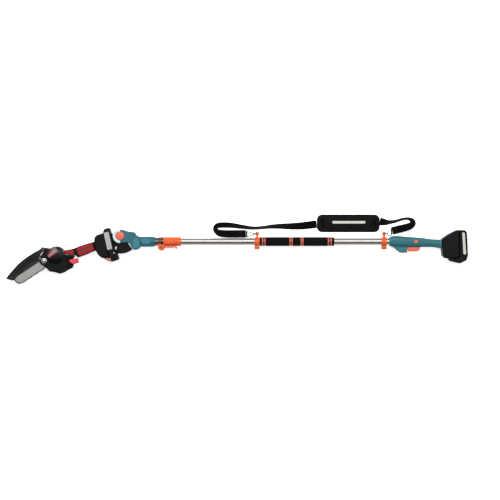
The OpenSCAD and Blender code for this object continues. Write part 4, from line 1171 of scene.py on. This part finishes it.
adapter_screws = Shape().screw(-37.0, -61, 37.6, 3.0)
adapter_screws.screw(-57, -78, 37.5, 2.6)
make("adapter_screws", adapter_screws, IN_HEAD, "gear_steel", "adapter", "gear_steel")
latch = Shape()
latch.plate(rounded([(-10.5, -2), (10.5, -2), (10.5, 6), (-10.5, 6)], 1.5, 4), -18, 18, 1.6, steps=4, place=latch_place)
for k in range(5):
    latch.plate([(-7.5 + 3.4 * k, -2.7), (-6.1 + 3.4 * k, -2.7), (-6.1 + 3.4 * k, -1.6), (-7.5 + 3.4 * k, -1.6)], -13,
                13, 0.3,
                steps=1, place=latch_place)
lip = Shape()
lip_line = rounded([(-10.6, 0.6), (10.6, 0.6), (9.2, 7.4), (-9.6, 7.4)], 1.2, 3)
for _, low, high in both_sides(36.4, 37.5):
    lip.plate(lip_line, low, high, 0.3, steps=2, place=latch_place)
make("adapter_latch_mark", lip, IN_HEAD, "button_orange", "adapter", "orange_plastic")
make("adapter_latch_cap", latch, IN_HEAD, "button_orange", "adapter_latch", "orange_plastic", "adapter_latch")

sector = Shape()
sector.lathe([(5.1, -15), (18, -15), (18, 15), (5.1, 15), (5.1, -15)], segments=48)
sector.plate([(-38, 14), (-6, 16.5), (-6, -28), (-38, -42)], -14.9, 14.9, 1.2)
sector_edge = [(-10, -8)] + arc((0, 0), 70, -118, -62, 22) + [(10, -8)]
sector.plate(rounded(sector_edge, 2.5, 3), -14.9, 14.9, 2.0, steps=4)
sector.box(-58.2, -33.5, -40, 12, -14, 14, 0.5)
rail_tongue(sector, *HEAD_RAIL)
for _, low, high in both_sides(14.6, 15.0):
    for r in (61, 66):
        rib = arc((0, 0), r + 1.2, -114, -66, 20) + arc((0, 0), r, -66, -114, 20)
        sector.plate(rib, low, high, 0.1, steps=1)
make("sector_block", sector, IN_HEAD, "black_plastic", "adapter", "black_plastic", "swivel_sector")
teeth = Shape()
for k in range(9):
    a = radians(-112 + 5.5 * k)
    turn = Matrix.Translation((69.2 * cos(a), 69.2 * sin(a), 0)) @ Matrix.Rotation(a, 4, "Z")
    teeth.box(-0.8, 0.7, -1.6, 1.6, -9, 9, 0.4, 0.6, turn)
make("sector_detents", teeth, IN_HEAD, "black_gloss", "adapter", "black_plastic")

# ---------------------------------------------------------------- swivel head, in the pole's frame
PIVOT = IN_POLE.inverted() @ middle("pivot_bolt")
PIVOT = (PIVOT.x, PIVOT.y)
fork_outline = [(-170, 46.6), (-160, 47.2), (-141.6, 40.5), (-112, 36.5), (-106, 25), (-92, 18.5), (-88, -18.4),
                (-98, -30.6), (-115, -32.6), (-122, -25.5), (-131, -8), (-140, -3.5), (-168, -6.6)]
fork_edge = rounded(fork_outline, 5, 5)
head = Shape().plate(fork_edge, -25.8, 25.8, 4.5, steps=6)
swing = Shape().plate(arc(PIVOT, 71.5, -170, -8, 40) + [(-98, 12), (-110, 32.9), (-250, 32.9)], -15.9, 15.9, PLAIN,
                      steps=1)
round_space = Shape().lathe([(0, -15.8), (19, -15.8), (19, 15.8), (0, 15.8)], (*PIVOT, 0), segments=48)
head = subtract(head, swing, round_space)
for side, low, high in both_sides(15.9, 25.9):
    cheek = [p for p in arc(PIVOT, 30, 51, 411, 64)[:-1]]
    cheek = [(x, min(y, 46.8)) for x, y in cheek]
    head.plate(cheek, low, high, 2.2 if side > 0 else 0.1, 0.1 if side > 0 else 2.2, steps=4)
head.lathe([(11.1, -59.0), (17.4, -59), (18.5, -57.8), (18.5, 0), (11.1, 0), (11.1, -59.0)], (-33, 0, 0), "X", 64)
SCREW_SPOTS = ((-128, 31.5), (-126, 9.5), (-104, -24))
SCREW_START = (-10, 16.0, -10)  # the middle one stays inside its cheek, clear of the sector
recesses = [Shape().lathe([(0, 19), (3.6, 19), (3.6, 30), (0, 30)], (x, y, 0), segments=24) for x, y in SCREW_SPOTS]
recesses.append(Shape().lathe([(0, 18.6), (16.9, 18.6), (16.9, 30), (0, 30)], (*PIVOT, 0), segments=64))
recess_line = rounded([(-121, 33.5), (-112.5, 32.5), (-109.5, 26), (-115, 24)], 2, 3)
recesses.append(Shape().plate(recess_line, 21, 30, PLAIN, steps=1))
head = subtract(head, *recesses)
halves(("fork_left", "fork_right"), head, IN_POLE, "teal_plastic", "head", "teal_plastic",
       ("head_shell_left", "head_shell_right"))
panels = Shape()
lower = [(-118, 4), (-108, 16), (-97, 9), (-92.5, -15), (-99, -26), (-113, -28), (-119, -21), (-112, -6)]
for cheek_face, neck_face in zip(both_faces(25.4, 26.6, 0.9), both_faces(16.5, 19.4, 1.2)):
    panels.plate(rounded(lower, 4, 4), *cheek_face)
    panels.plate(rounded(box_outline(-84, -52, -9.5, 10.5), 2.5, 4), *neck_face)
panels.box(-96, -39, -20.6, -15.5, -6.5, 6.5, 1.0, 1.2)
panels.box(-90, -39, 15.5, 19.6, -6.5, 6.5, 1.0, 1.2)
make("head_panels", panels, IN_POLE, "teal_panel", "head", "teal_plastic")
screws = Shape()
for (x, y), start in zip(SCREW_SPOTS, SCREW_START):
    screws.screw(x, y, 21.5, 3.2)
    screws.lathe([(0, start), (1.5, start), (1.5, 20), (0, 20)], (x, y, 0), segments=12)
make("head_screw_set", screws, IN_POLE, "chain_steel", "head", "gear_steel", "head_screws")
# Angle scale round the pivot: a real dial, drawn pale and only over the crescent from 112 to 270 degrees, so its pale
# tone is partly a painted highlight on the teal boss
dial = Shape()
dial.lathe([(17.9, 25.95), (28.8, 25.95), (28.9, 26.4), (28.4, 26.75), (18.4, 26.75), (17.9, 26.4), (17.9, 25.95)],
           (*PIVOT, 0), "Z", 72, 112, 158)
make("dial_ring_painted_highlight", dial, IN_POLE, "dial_plate", "head", "dial_plate", "angle_dial")
ticks = Shape()
for k in range(16):
    a = radians(119 + 9.6 * k)
    turn = Matrix.Translation((*PIVOT, 0)) @ Matrix.Rotation(a, 4, "Z")
    inner_r = 22.5 if k % 3 == 0 else 25
    ticks.box(inner_r, 28, -0.22, 0.22, 26.6, 26.86, 0.05, place=turn)
make("dial_ticks", ticks, IN_POLE, "teal_plastic", "head", "teal_plastic")
cap = Shape()
cap.lathe([(0, 23.4), (16.4, 23.4), (16.5, 30.4), (15.8, 31.4), (14.6, 31.7), (13.4, 31.2), (12.6, 31.3), (9, 32.2),
           (4.5, 32.8), (0, 33.0)], (*PIVOT, 0), segments=64)
make("pivot_cap", cap, IN_POLE, "button_orange", "pivot_button", "orange_plastic", "pivot_button")
collar = Shape()
collar.lathe([(11, -32.8), (16, -32.8), (16.5, -32.2), (16.5, -29.6), (15.7, -29.0), (15.7, -26.8), (16.5, -26.2),
              (16.5, -23.8), (16, -23.2), (11, -23.2), (11, -32.8)], (0, 0, 0), "X", 64)
make("collar_ring", collar, IN_POLE, "dull_steel", "head", "bright_steel", "head_collar")

# ---------------------------------------------------------------- flip lock
PIN = (-8.0, -22.0)
barrel = Shape()
barrel.lathe([(11.4, -21.9), (13.8, -21.9), (14.5, -21.2), (14.5, -9.4), (16.2, -9.2), (17.5, -8.2), (17.5, 64.5),
              (16.6, 67.6), (15.0, 69), (13.0, 69), (13.0, 0.4), (11.4, 0.4), (11.4, -21.9)], (0, 0, 0), "X", 72)
lug_outline = arc(PIN, 13, 180, 360, 24) + [(5, -6), (-21, -6)]
lug_outline = rounded(lug_outline, 1, 2)
for _, low, high in both_sides(7.8, 13.7):
    barrel.plate(lug_outline, low, high, 1.4, holes=[arc(PIN, 2.5, 0, 345, 23)], steps=3)
make("lock_barrel", barrel, IN_POLE, "orange_plastic", "root", "orange_plastic", "lock_body")
grooves = Shape()
for k in range(3):
    x = 52 + 5 * k
    grooves.lathe([(17.2, x), (17.8, x + 0.4), (17.8, x + 1.8), (17.2, x + 2.2), (17.2, x)], (0, 0, 0), "X", 72)
for face in both_faces(16.2, 17.9, 0.8):
    grooves.plate(rounded(box_outline(6, 46, -7, 7), 3, 4), *face)
make("lock_barrel_ribs", grooves, IN_POLE, "orange_plastic", "root", "orange_plastic")
band_ring = Shape()
band_ring.lathe([(14.6, -21.4), (16.6, -21.4), (17.0, -20.8), (17.0, -11.4), (16.6, -10.8), (14.6, -10.8),
                 (14.6, -21.4)],
                (0, 0, 0), "X", 64)
band_cut = Shape().box(-23, -9, -22, 0.01, -15, 15, PLAIN)
band_ring.lathe([(17.4, -9.9), (17.9, -9.4), (17.9, -0.6), (17.4, 0.0), (17.4, -9.9)], (0, 0, 0), "X", 64, 0, 360)
make("lock_band_strip", subtract(band_ring, band_cut), IN_POLE, "dark_red", "root", "black_plastic", "lock_band")
lever = Shape()
lever.lathe([(2.6, -7.4), (8.4, -7.4), (9.2, -6.6), (9.2, 6.6), (8.4, 7.4), (2.6, 7.4), (2.6, -7.4)], (*PIN, 0), "Z",
            40)
tip = PIN[0] + 60
lever.plate(rounded([(PIN[0] + 2, -18.3), (PIN[0] + 16, -18.3), (PIN[0] + 16, -24.5), (PIN[0] + 2, -29)], 1, 2), -7.3,
            7.3, 0.8)
blade = [(PIN[0] + 15, -18.3), (tip - 6, -18.3), (tip, -20), (tip, -26), (tip - 3, -26.5), (tip - 8, -23),
         (PIN[0] + 15, -24.5)]
lever.plate(rounded(blade, 1.6, 4), -12.9, 12.9, 1.3, steps=4)
for k in range(5):
    x = PIN[0] + 24 + 5 * k
    lever.box(x, x + 1.8, -25.1, -23.4, -9, 9, 0.4)
lever_tip = Shape()
lever_tip.lathe([(0, -9.5), (2.4, -9.5), (3.2, -8.7), (3.2, 8.7), (2.4, 9.5), (0, 9.5)], (tip - 1.6, -25.2, 0), "Z", 24)
make("lock_lever_tip", lever_tip, IN_POLE, "dark_red", "lock_lever", "orange_plastic")
make("lock_lever_blade", lever, IN_POLE, "orange_plastic", "lock_lever", "orange_plastic", "lock_lever")
pin_caps = Shape()
for side in (-1, 1):
    pin_caps.lathe([(0, side * 14.7), (3.2, side * 14.5), (3.8, side * 13.9), (3.8, side * 13.5), (0, side * 13.5)],
                   (*PIN, 0), "Z", 24)
make("lock_pin_heads", pin_caps, IN_POLE, "chain_steel", "root", "gear_steel")

# ---------------------------------------------------------------- foam grip
GRIP_X = 375.5
GRIP_LENGTH = 290.0
RING_SPOTS = (0.035, 0.07, 0.405, 0.435, 0.555, 0.58, 0.92, 0.96)
profile = [(13.0, GRIP_X), (15.4, GRIP_X), (16.8, GRIP_X + 1.4)]
for f in RING_SPOTS:
    x = GRIP_X + f * GRIP_LENGTH
    profile += [(17.4, x - 3.2), (17.1, x - 2.2), (16.0, x - 1.9), (16.0, x + 1.9), (17.1, x + 2.2), (17.4, x + 3.2)]
    if f in (0.07, 0.435, 0.58):
        gap = {0.07: (0.07, 0.405), 0.435: (0.435, 0.555), 0.58: (0.58, 0.92)}[f]
        for t in (0.15, 0.5, 0.85):
            profile.append((17.5, GRIP_X + GRIP_LENGTH * (gap[0] + (gap[1] - gap[0]) * t)))
end = GRIP_X + GRIP_LENGTH
profile += [(17.2, end - 4), (16.2, end - 1.4), (15.0, end), (13.0, end), (13.0, GRIP_X)]
grip = Shape().lathe(profile, (0, 0, 0), "X", 72)
make("grip_sleeve", grip, IN_POLE, "foam", "root", "foam", "foam_grip")
rings = Shape()
for f in RING_SPOTS:
    x = GRIP_X + f * GRIP_LENGTH
    rings.lathe([(16.0, x - 1.85), (17.0, x - 1.85), (17.5, x - 1.3), (17.6, x), (17.5, x + 1.3), (17.0, x + 1.85),
                 (16.0, x + 1.85), (16.0, x - 1.85)], (0, 0, 0), "X", 72)
make("grip_bands", rings, IN_POLE, "button_orange", "root", "orange_plastic", "grip_rings")
between = Shape()
for a, b in ((0.035, 0.07), (0.405, 0.435), (0.555, 0.58), (0.92, 0.96)):
    x0, x1 = GRIP_X + a * GRIP_LENGTH + 2.4, GRIP_X + b * GRIP_LENGTH - 2.4
    between.lathe([(16.2, x0), (17.45, x0 + 0.3), (17.45, x1 - 0.3), (16.2, x1), (16.2, x0)], (0, 0, 0), "X", 72)
make("grip_band_fill", between, IN_POLE, "dark_red", "root", "foam")

# ---------------------------------------------------------------- strap collars, hook and ring
EAR_Y = 31.0
FRONT_COLLAR = 365.0
REAR_COLLAR = 860.0
collars = Shape()
for x in (FRONT_COLLAR, REAR_COLLAR):
    collars.lathe([(13.05, x - 10), (15.6, x - 10), (16.6, x - 9.2), (16.9, x - 7), (16.9, x + 7), (16.6, x + 9.2),
                   (15.6, x + 10), (13.05, x + 10), (13.05, x - 10)], (0, 0, 0), "X", 64)
    for z0, z1 in ((1.1, 6.9), (-6.9, -1.1)):
        collars.box(x - 9.6, x + 9.6, -30.6, -14.5, z0, z1, 0.9, 2.6)
        collars.box(x - 9.9, x - 7.2, -29, -14.5, z0, z1, 0.6)
    collars.box(x - 4, x + 4, 14, EAR_Y, -6.8, 6.8, 0.9)
    collars.lathe([(2.3, -6.9), (7.2, -6.9), (7.9, -6.2), (7.9, 6.2), (7.2, 6.9), (2.3, 6.9), (2.3, -6.9)],
                  (x, EAR_Y, 0),
                  "Z", 36)
    collars.lathe([(15.9, x - 2.2), (17.3, x - 1.7), (17.3, x + 1.7), (15.9, x + 2.2), (15.9, x - 2.2)], (0, 0, 0),
                  "X", 64)
make("collar_clamps", collars, IN_POLE, "orange_plastic", "root", "orange_plastic", "strap_collars")
bolts = Shape()
for x in (FRONT_COLLAR, REAR_COLLAR):
    bolts.screw(x, -24, 8.2, 4.2)
    bolts.lathe([(0, -8.4), (2.4, -8.4), (2.4, 7.4), (0, 7.4)], (x, -24, 0), segments=20)
    bolts.plate(arc((x, -24), 4.2, 0, 300, 5), -8.6, -6.8, 0.3)
make("collar_bolts", bolts, IN_POLE, "wire_steel", "root", "bright_steel")


def clevis(shape, x, way):
    shape.lathe([(0, -10), (1.9, -10), (1.9, 10), (0, 10)], (x, EAR_Y, 0), segments=20)
    for side, low, high in both_sides(7.7, 9.7):
        ends = sorted((x - way * 3, x + way * 15))
        shape.box(ends[0], ends[1], EAR_Y - 2.5, EAR_Y + 2.5, low, high, 0.5, 2.3)
        shape.lathe([(0, side * 10.7), (2.2, side * 10.6), (2.8, side * 9.7), (0, side * 9.6)], (x, EAR_Y, 0),
                    segments=20)
    ends = sorted((x + way * 12.5, x + way * 15.5))
    shape.box(ends[0], ends[1], EAR_Y - 2.5, EAR_Y + 2.5, -9.6, 9.6, 0.6)


def rounded_path(points, radius, steps=5):
    return [(x, y, 0) for x, y in rounded(points, radius, steps)]


hook = Shape()
HOOK_X = FRONT_COLLAR - 43
hook.wire(rounded_path([(HOOK_X + 1.6, 16.5), (HOOK_X + 1.6, 38.5), (HOOK_X + 28.4, 32.8), (HOOK_X + 28.4, 27.2)],
                       3.0), 1.6, True, 12)
clevis(hook, FRONT_COLLAR, -1)
hook.lathe([(1.7, -4), (3.4, -4), (3.8, -3), (3.8, 3), (3.4, 4), (1.7, 4), (1.7, -4)], (HOOK_X + 29, 30, 0), "X", 24)
make("hook_wire", hook, IN_POLE, "wire_steel", "root", "bright_steel", "front_hook")
dring = Shape()
ring_line = [(13, 21.5), (13, 47), (26, 47), (33, 40), (33, 28), (26, 21.5)]
ring_line = inset(ccw(shifted(ring_line, REAR_COLLAR)), 1.6)
dring.wire(rounded_path(ring_line, 3.5), 1.6, True, 12)
clevis(dring, REAR_COLLAR, 1)
make("ring_wire", dring, IN_POLE, "wire_steel", "root", "bright_steel", "rear_ring")

# ---------------------------------------------------------------- rear handle
HANDLE_X = 880.0
stations = [(0, -15.5, 15.5, 15.5), (4, -18.5, 18.4, 17.0), (15, -22.6, 22.2, 17.8), (35, -23.4, 21.6, 18),
            (60, -23.2, 19.6, 18),
            (90, -22.8, 17.8, 17.8), (118, -22.2, 15.8, 17.4), (145, -21.6, 12.6, 17), (166, -21.8, 9.8, 16.8),
            (180, -23.4, 9.0, 17), (194, -26.0, 8.4, 17.4), (203, -28, 8.2, 17.8)]
stations = [(x + HANDLE_X, a, b, c) for x, a, b, c in stations]
handle = Shape().loft(stations, 2.9, 48)
bores = [Shape().lathe([(0, -2), (13.05, -2), (13.05, 50), (0, 50)], (HANDLE_X, 0, 0), "X", 48),
         Shape().box(HANDLE_X + 70, HANDLE_X + 120.5, -60, -10, -8.6, 8.6, PLAIN),
         Shape().lathe([(0, 9), (7.4, 9), (7.4, 30), (0, 30)], (HANDLE_X + 103, 0, 0), "Z", 40)]
REAR_SCREWS = ((58, -34), (127.5, 2.5), (190, -16), (62, 13))
for x, y in REAR_SCREWS[1:]:
    bores.append(Shape().lathe([(0, 12.5), (3.3, 12.5), (3.3, 30), (0, 30)], (HANDLE_X + x, y, 0), "Z", 24))
handle = subtract(handle, *bores)
housing = [(14, -17), (18, -24.5), (42, -43.6), (68.6, -43.6), (69, -24.5), (70, -17)]
housing = rounded(shifted(housing, HANDLE_X), 3.5, 4)
housing_shape = Shape().plate(housing, -13.6, 13.6, 3.0, steps=5)
hole = Shape().lathe([(0, 10.4), (3.3, 10.4), (3.3, 30), (0, 30)], (HANDLE_X + 58, -34, 0), "Z", 24)
housing_shape = subtract(housing_shape, hole)
handle.join(housing_shape)
halves(("grip_left", "grip_right"), handle, IN_POLE, "teal_plastic", "root", "teal_plastic",
       ("rear_handle_left", "rear_handle_right"))
trim = Shape()
trim.loft([(HANDLE_X + 203, -28.6, 8.8, 18.2), (HANDLE_X + 196, -27.4, 9.2, 18.3), (HANDLE_X + 196.4, -26.6, 8.4, 17.5),
           (HANDLE_X + 203.2, -28.0, 8.2, 17.4)], 2.9, 48)
inner_panel = rounded(shifted([(26, -25.5), (44, -39.8), (64, -39.8), (64, -27)], HANDLE_X), 2.5, 4)
for face in both_faces(12.9, 14.2, 0.7):
    trim.plate(inner_panel, *face, [arc((HANDLE_X + 58, -34), 3.6, 0, 345, 23)])
make("grip_trim", trim, IN_POLE, "teal_panel", "root", "teal_plastic")
parting = Shape()
for side in (-1, 1):
    line = [(10, -15.5), (40, -16.6), (69, -17.4), (98, -18.2), (120, -18.6)]
    pts = []
    for x, y in line:
        half = 17.9 * (1 - (abs(y + 1) / 22.5) ** 2.9) ** (1 / 2.9)
        pts.append((HANDLE_X + x, y, side * (half + 0.05)))
    parting.wire(pts, 0.45, count=6)
make("grip_parting", parting, IN_POLE, "black_plastic", "root", "teal_plastic")
rear_screws = Shape()
for (x, y), z in zip(REAR_SCREWS, (12.2, 14.6, 14.6, 14.4)):
    rear_screws.screw(HANDLE_X + x, y, z, 3.0)
make("grip_screws", rear_screws, IN_POLE, "chain_steel", "root", "gear_steel", "shell_screws")
rear_trigger = Shape()
trigger_outline = [(70.8, -17), (71.8, -37.4), (76, -38.4), (110, -37.4), (117, -34), (120, -27), (120, -14),
                   (112, -14)]
rear_trigger.plate(rounded(shifted(trigger_outline, HANDLE_X), 2.5, 4), -8, 8, 2.2, steps=5)
for k in range(6):
    x = HANDLE_X + 80 + 5 * k
    rear_trigger.box(x, x + 1.6, -38.6, -36.6, -5.5, 5.5, 0.4)
make("rear_trigger_blade", rear_trigger, IN_POLE, "button_orange", "rear_trigger", "orange_plastic", "rear_trigger")
lockoff = Shape()
lockoff.lathe([(0, 13.5), (7.0, 13.5), (7.0, 19.4), (6.4, 20.2), (5.2, 20.5), (4.2, 20.1), (0, 19.8)],
              (HANDLE_X + 103, 0, 0), "Z", 40)
make("lockoff_cap", lockoff, IN_POLE, "button_orange", "lockoff", "orange_plastic", "lockoff_button")

# ---------------------------------------------------------------- battery foot and battery
REAR_RAIL = (1151.0, -8.0)
LATCH_REAR = Matrix.Translation((REAR_RAIL[0] - 34.5, REAR_RAIL[1] - 64.7, 0)) @ Matrix.Rotation(LATCH_TILT, 4, "Z")
foot_line = [(-0.3, 53), (-8, 53), (-39, 38), (-67, 19), (-67, -20), (-65, -47), (-56, -56.5), (-42, -58.5),
             (-0.3, -55)]
foot_line = rounded(shifted(foot_line, *REAR_RAIL), 6, 4)
latch_space = Shape().plate([(-7, -4), (7, -4), (7, 12), (-7, 12)], -19, 19, PLAIN, steps=1, place=LATCH_REAR)
foot = subtract(Shape().plate(foot_line, -37, 37, 4.5, steps=5), *rail_cutters(*REAR_RAIL), latch_space)
for _, low, high in both_sides(36.4, 37.4):
    face = rounded(shifted([(-6, 40), (-36, 28), (-58, 13), (-59, -18), (-57, -42), (-50, -50), (-6, -47)],
                           *REAR_RAIL), 6, 5)
    hole = rounded(shifted([(-9, 35.6), (-35, 25), (-55, 11), (-56, -18), (-54, -40), (-48.5, -47), (-9, -44)],
                           *REAR_RAIL),
                   5, 5)
    foot.plate(face, low, high, 0.3, holes=[hole], steps=1)
make("rear_foot_shell", foot, IN_POLE, "black_plastic", "root", "black_plastic", "battery_foot")
case_line = [(0.3, 53), (23, 52), (28, 44), (33, -45), (27, -65), (3, -77), (-27, -70), (-42, -59.4), (0.3, -55.8)]
case_line = rounded(shifted(case_line, *REAR_RAIL), 4.5, 4)
case_cut = Shape().plate([(-6.5, -4), (6.5, -4), (6.5, 11.5), (-6.5, 11.5)], -18.5, 18.5, PLAIN, steps=1,
                         place=LATCH_REAR)
cells_space = Shape().box(REAR_RAIL[0] + 4.6, REAR_RAIL[0] + 27.4, -58, 40, -33, 33, PLAIN)
case = subtract(Shape().plate(case_line, -37.5, 37.5, 3.8, 3.8, steps=5), case_cut, cells_space)
rail_tongue(case, *REAR_RAIL)
make("battery_shell", case, IN_POLE, "black_plastic", "battery", "black_plastic", "battery_case")
battery_trim = Shape()
for k in range(9):
    y = 32 - 8.5 * k
    battery_trim.box(REAR_RAIL[0] + 27.5, REAR_RAIL[0] + 32.6, y, y + 2.4, -30, 30, 0.6)
for _, low, high in both_sides(36.9, 37.6):
    outer_line = rounded(shifted([(8.2, 45.5), (20.8, 44), (26.6, -40), (21.5, -46), (12.8, -41)], *REAR_RAIL), 2, 4)
    inner_line = rounded(shifted([(9.6, 43.6), (19.6, 42.4), (25.2, -38.8), (21.0, -44), (14.0, -40)], *REAR_RAIL),
                         1.5, 4)
    battery_trim.plate(outer_line, low, high, 0.25, holes=[inner_line], steps=1)
    battery_trim.plate(rounded(shifted([(2, -60), (24, -56), (22, -63), (3, -72)], *REAR_RAIL), 2), low, high, 0.3)
make("battery_trim_set", battery_trim, IN_POLE, "black_gloss", "battery", "black_plastic")
battery_label = Shape()
battery_label.plate(rounded(shifted([(9.8, 43.2), (19.4, 42.0), (25.0, -38.6), (21.0, -43.8), (14.2, -39.8)],
                                    *REAR_RAIL), 1.5, 4),
                    37.2, 37.7, 0.15, steps=1)
make("battery_label_plate", battery_label, IN_POLE, "label_grey", "battery", "dial_plate")
battery_latch = Shape()
battery_latch.plate(rounded([(-6, -2), (6, -2), (6, 6), (-6, 6)], 1.2, 4), -18, 18, 1.2, steps=4, place=LATCH_REAR)
for k in range(3):
    battery_latch.plate([(-3.6 + 3 * k, -2.6), (-2.4 + 3 * k, -2.6), (-2.4 + 3 * k, -1.6), (-3.6 + 3 * k, -1.6)], -13,
                        13, 0.3,
                        steps=1, place=LATCH_REAR)
make("battery_latch_cap", battery_latch, IN_POLE, "black_rubber", "battery_latch", "black_plastic", "battery_latch")

# ---------------------------------------------------------------- floor and light
floor_data = bpy.data.meshes.new("floor")
floor_data.from_pydata([(-9, -9, 0), (9, -9, 0), (9, 9, 0), (-9, 9, 0)], [], [(0, 1, 2, 3)])
floor = bpy.data.objects.new("floor", floor_data)
bpy.context.scene.collection.objects.link(floor)
floor_nodes = Nodes("floor")
floor_nodes.link(floor_nodes.ramp(floor_nodes.noise(3, 3), [(0.2, (0.86, 0.86, 0.86)), (0.8, (0.9, 0.9, 0.9))]),
                 floor_nodes.shader.inputs["Base Color"])
floor_nodes.set(Roughness=0.9, Specular_IOR_Level=0.1, Emission_Color=(1, 1, 1, 1), Emission_Strength=0.75)
floor_data.materials.append(floor_nodes.material)

world = bpy.data.worlds.new("studio")
bpy.context.scene.world = world
world.use_nodes = True
world.node_tree.nodes["Background"].inputs["Color"].default_value = (1, 1, 1, 1)
world.node_tree.nodes["Background"].inputs["Strength"].default_value = 0.14


def area_light(name, place, aim, size, power):
    data = bpy.data.lights.new(name, "AREA")
    data.shape = "RECTANGLE"
    data.size, data.size_y = size
    data.energy = power
    lamp = bpy.data.objects.new(name, data)
    lamp.location = place
    lamp.rotation_euler = (Vector(aim) - Vector(place)).to_track_quat("-Z", "Y").to_euler()
    bpy.context.scene.collection.objects.link(lamp)


area_light("key", (0.0, 1.35, 2.6), (0, 0, 0), (4.5, 1.7), 130)
area_light("overhead", (0.0, 0.45, 3.4), (0, 0, 0), (5.0, 0.9), 30)
area_light("fill", (0.0, -2.6, 1.2), (0, 0, 0), (4.0, 0.6), 8)
bpy.context.scene.view_settings.view_transform = "Standard"
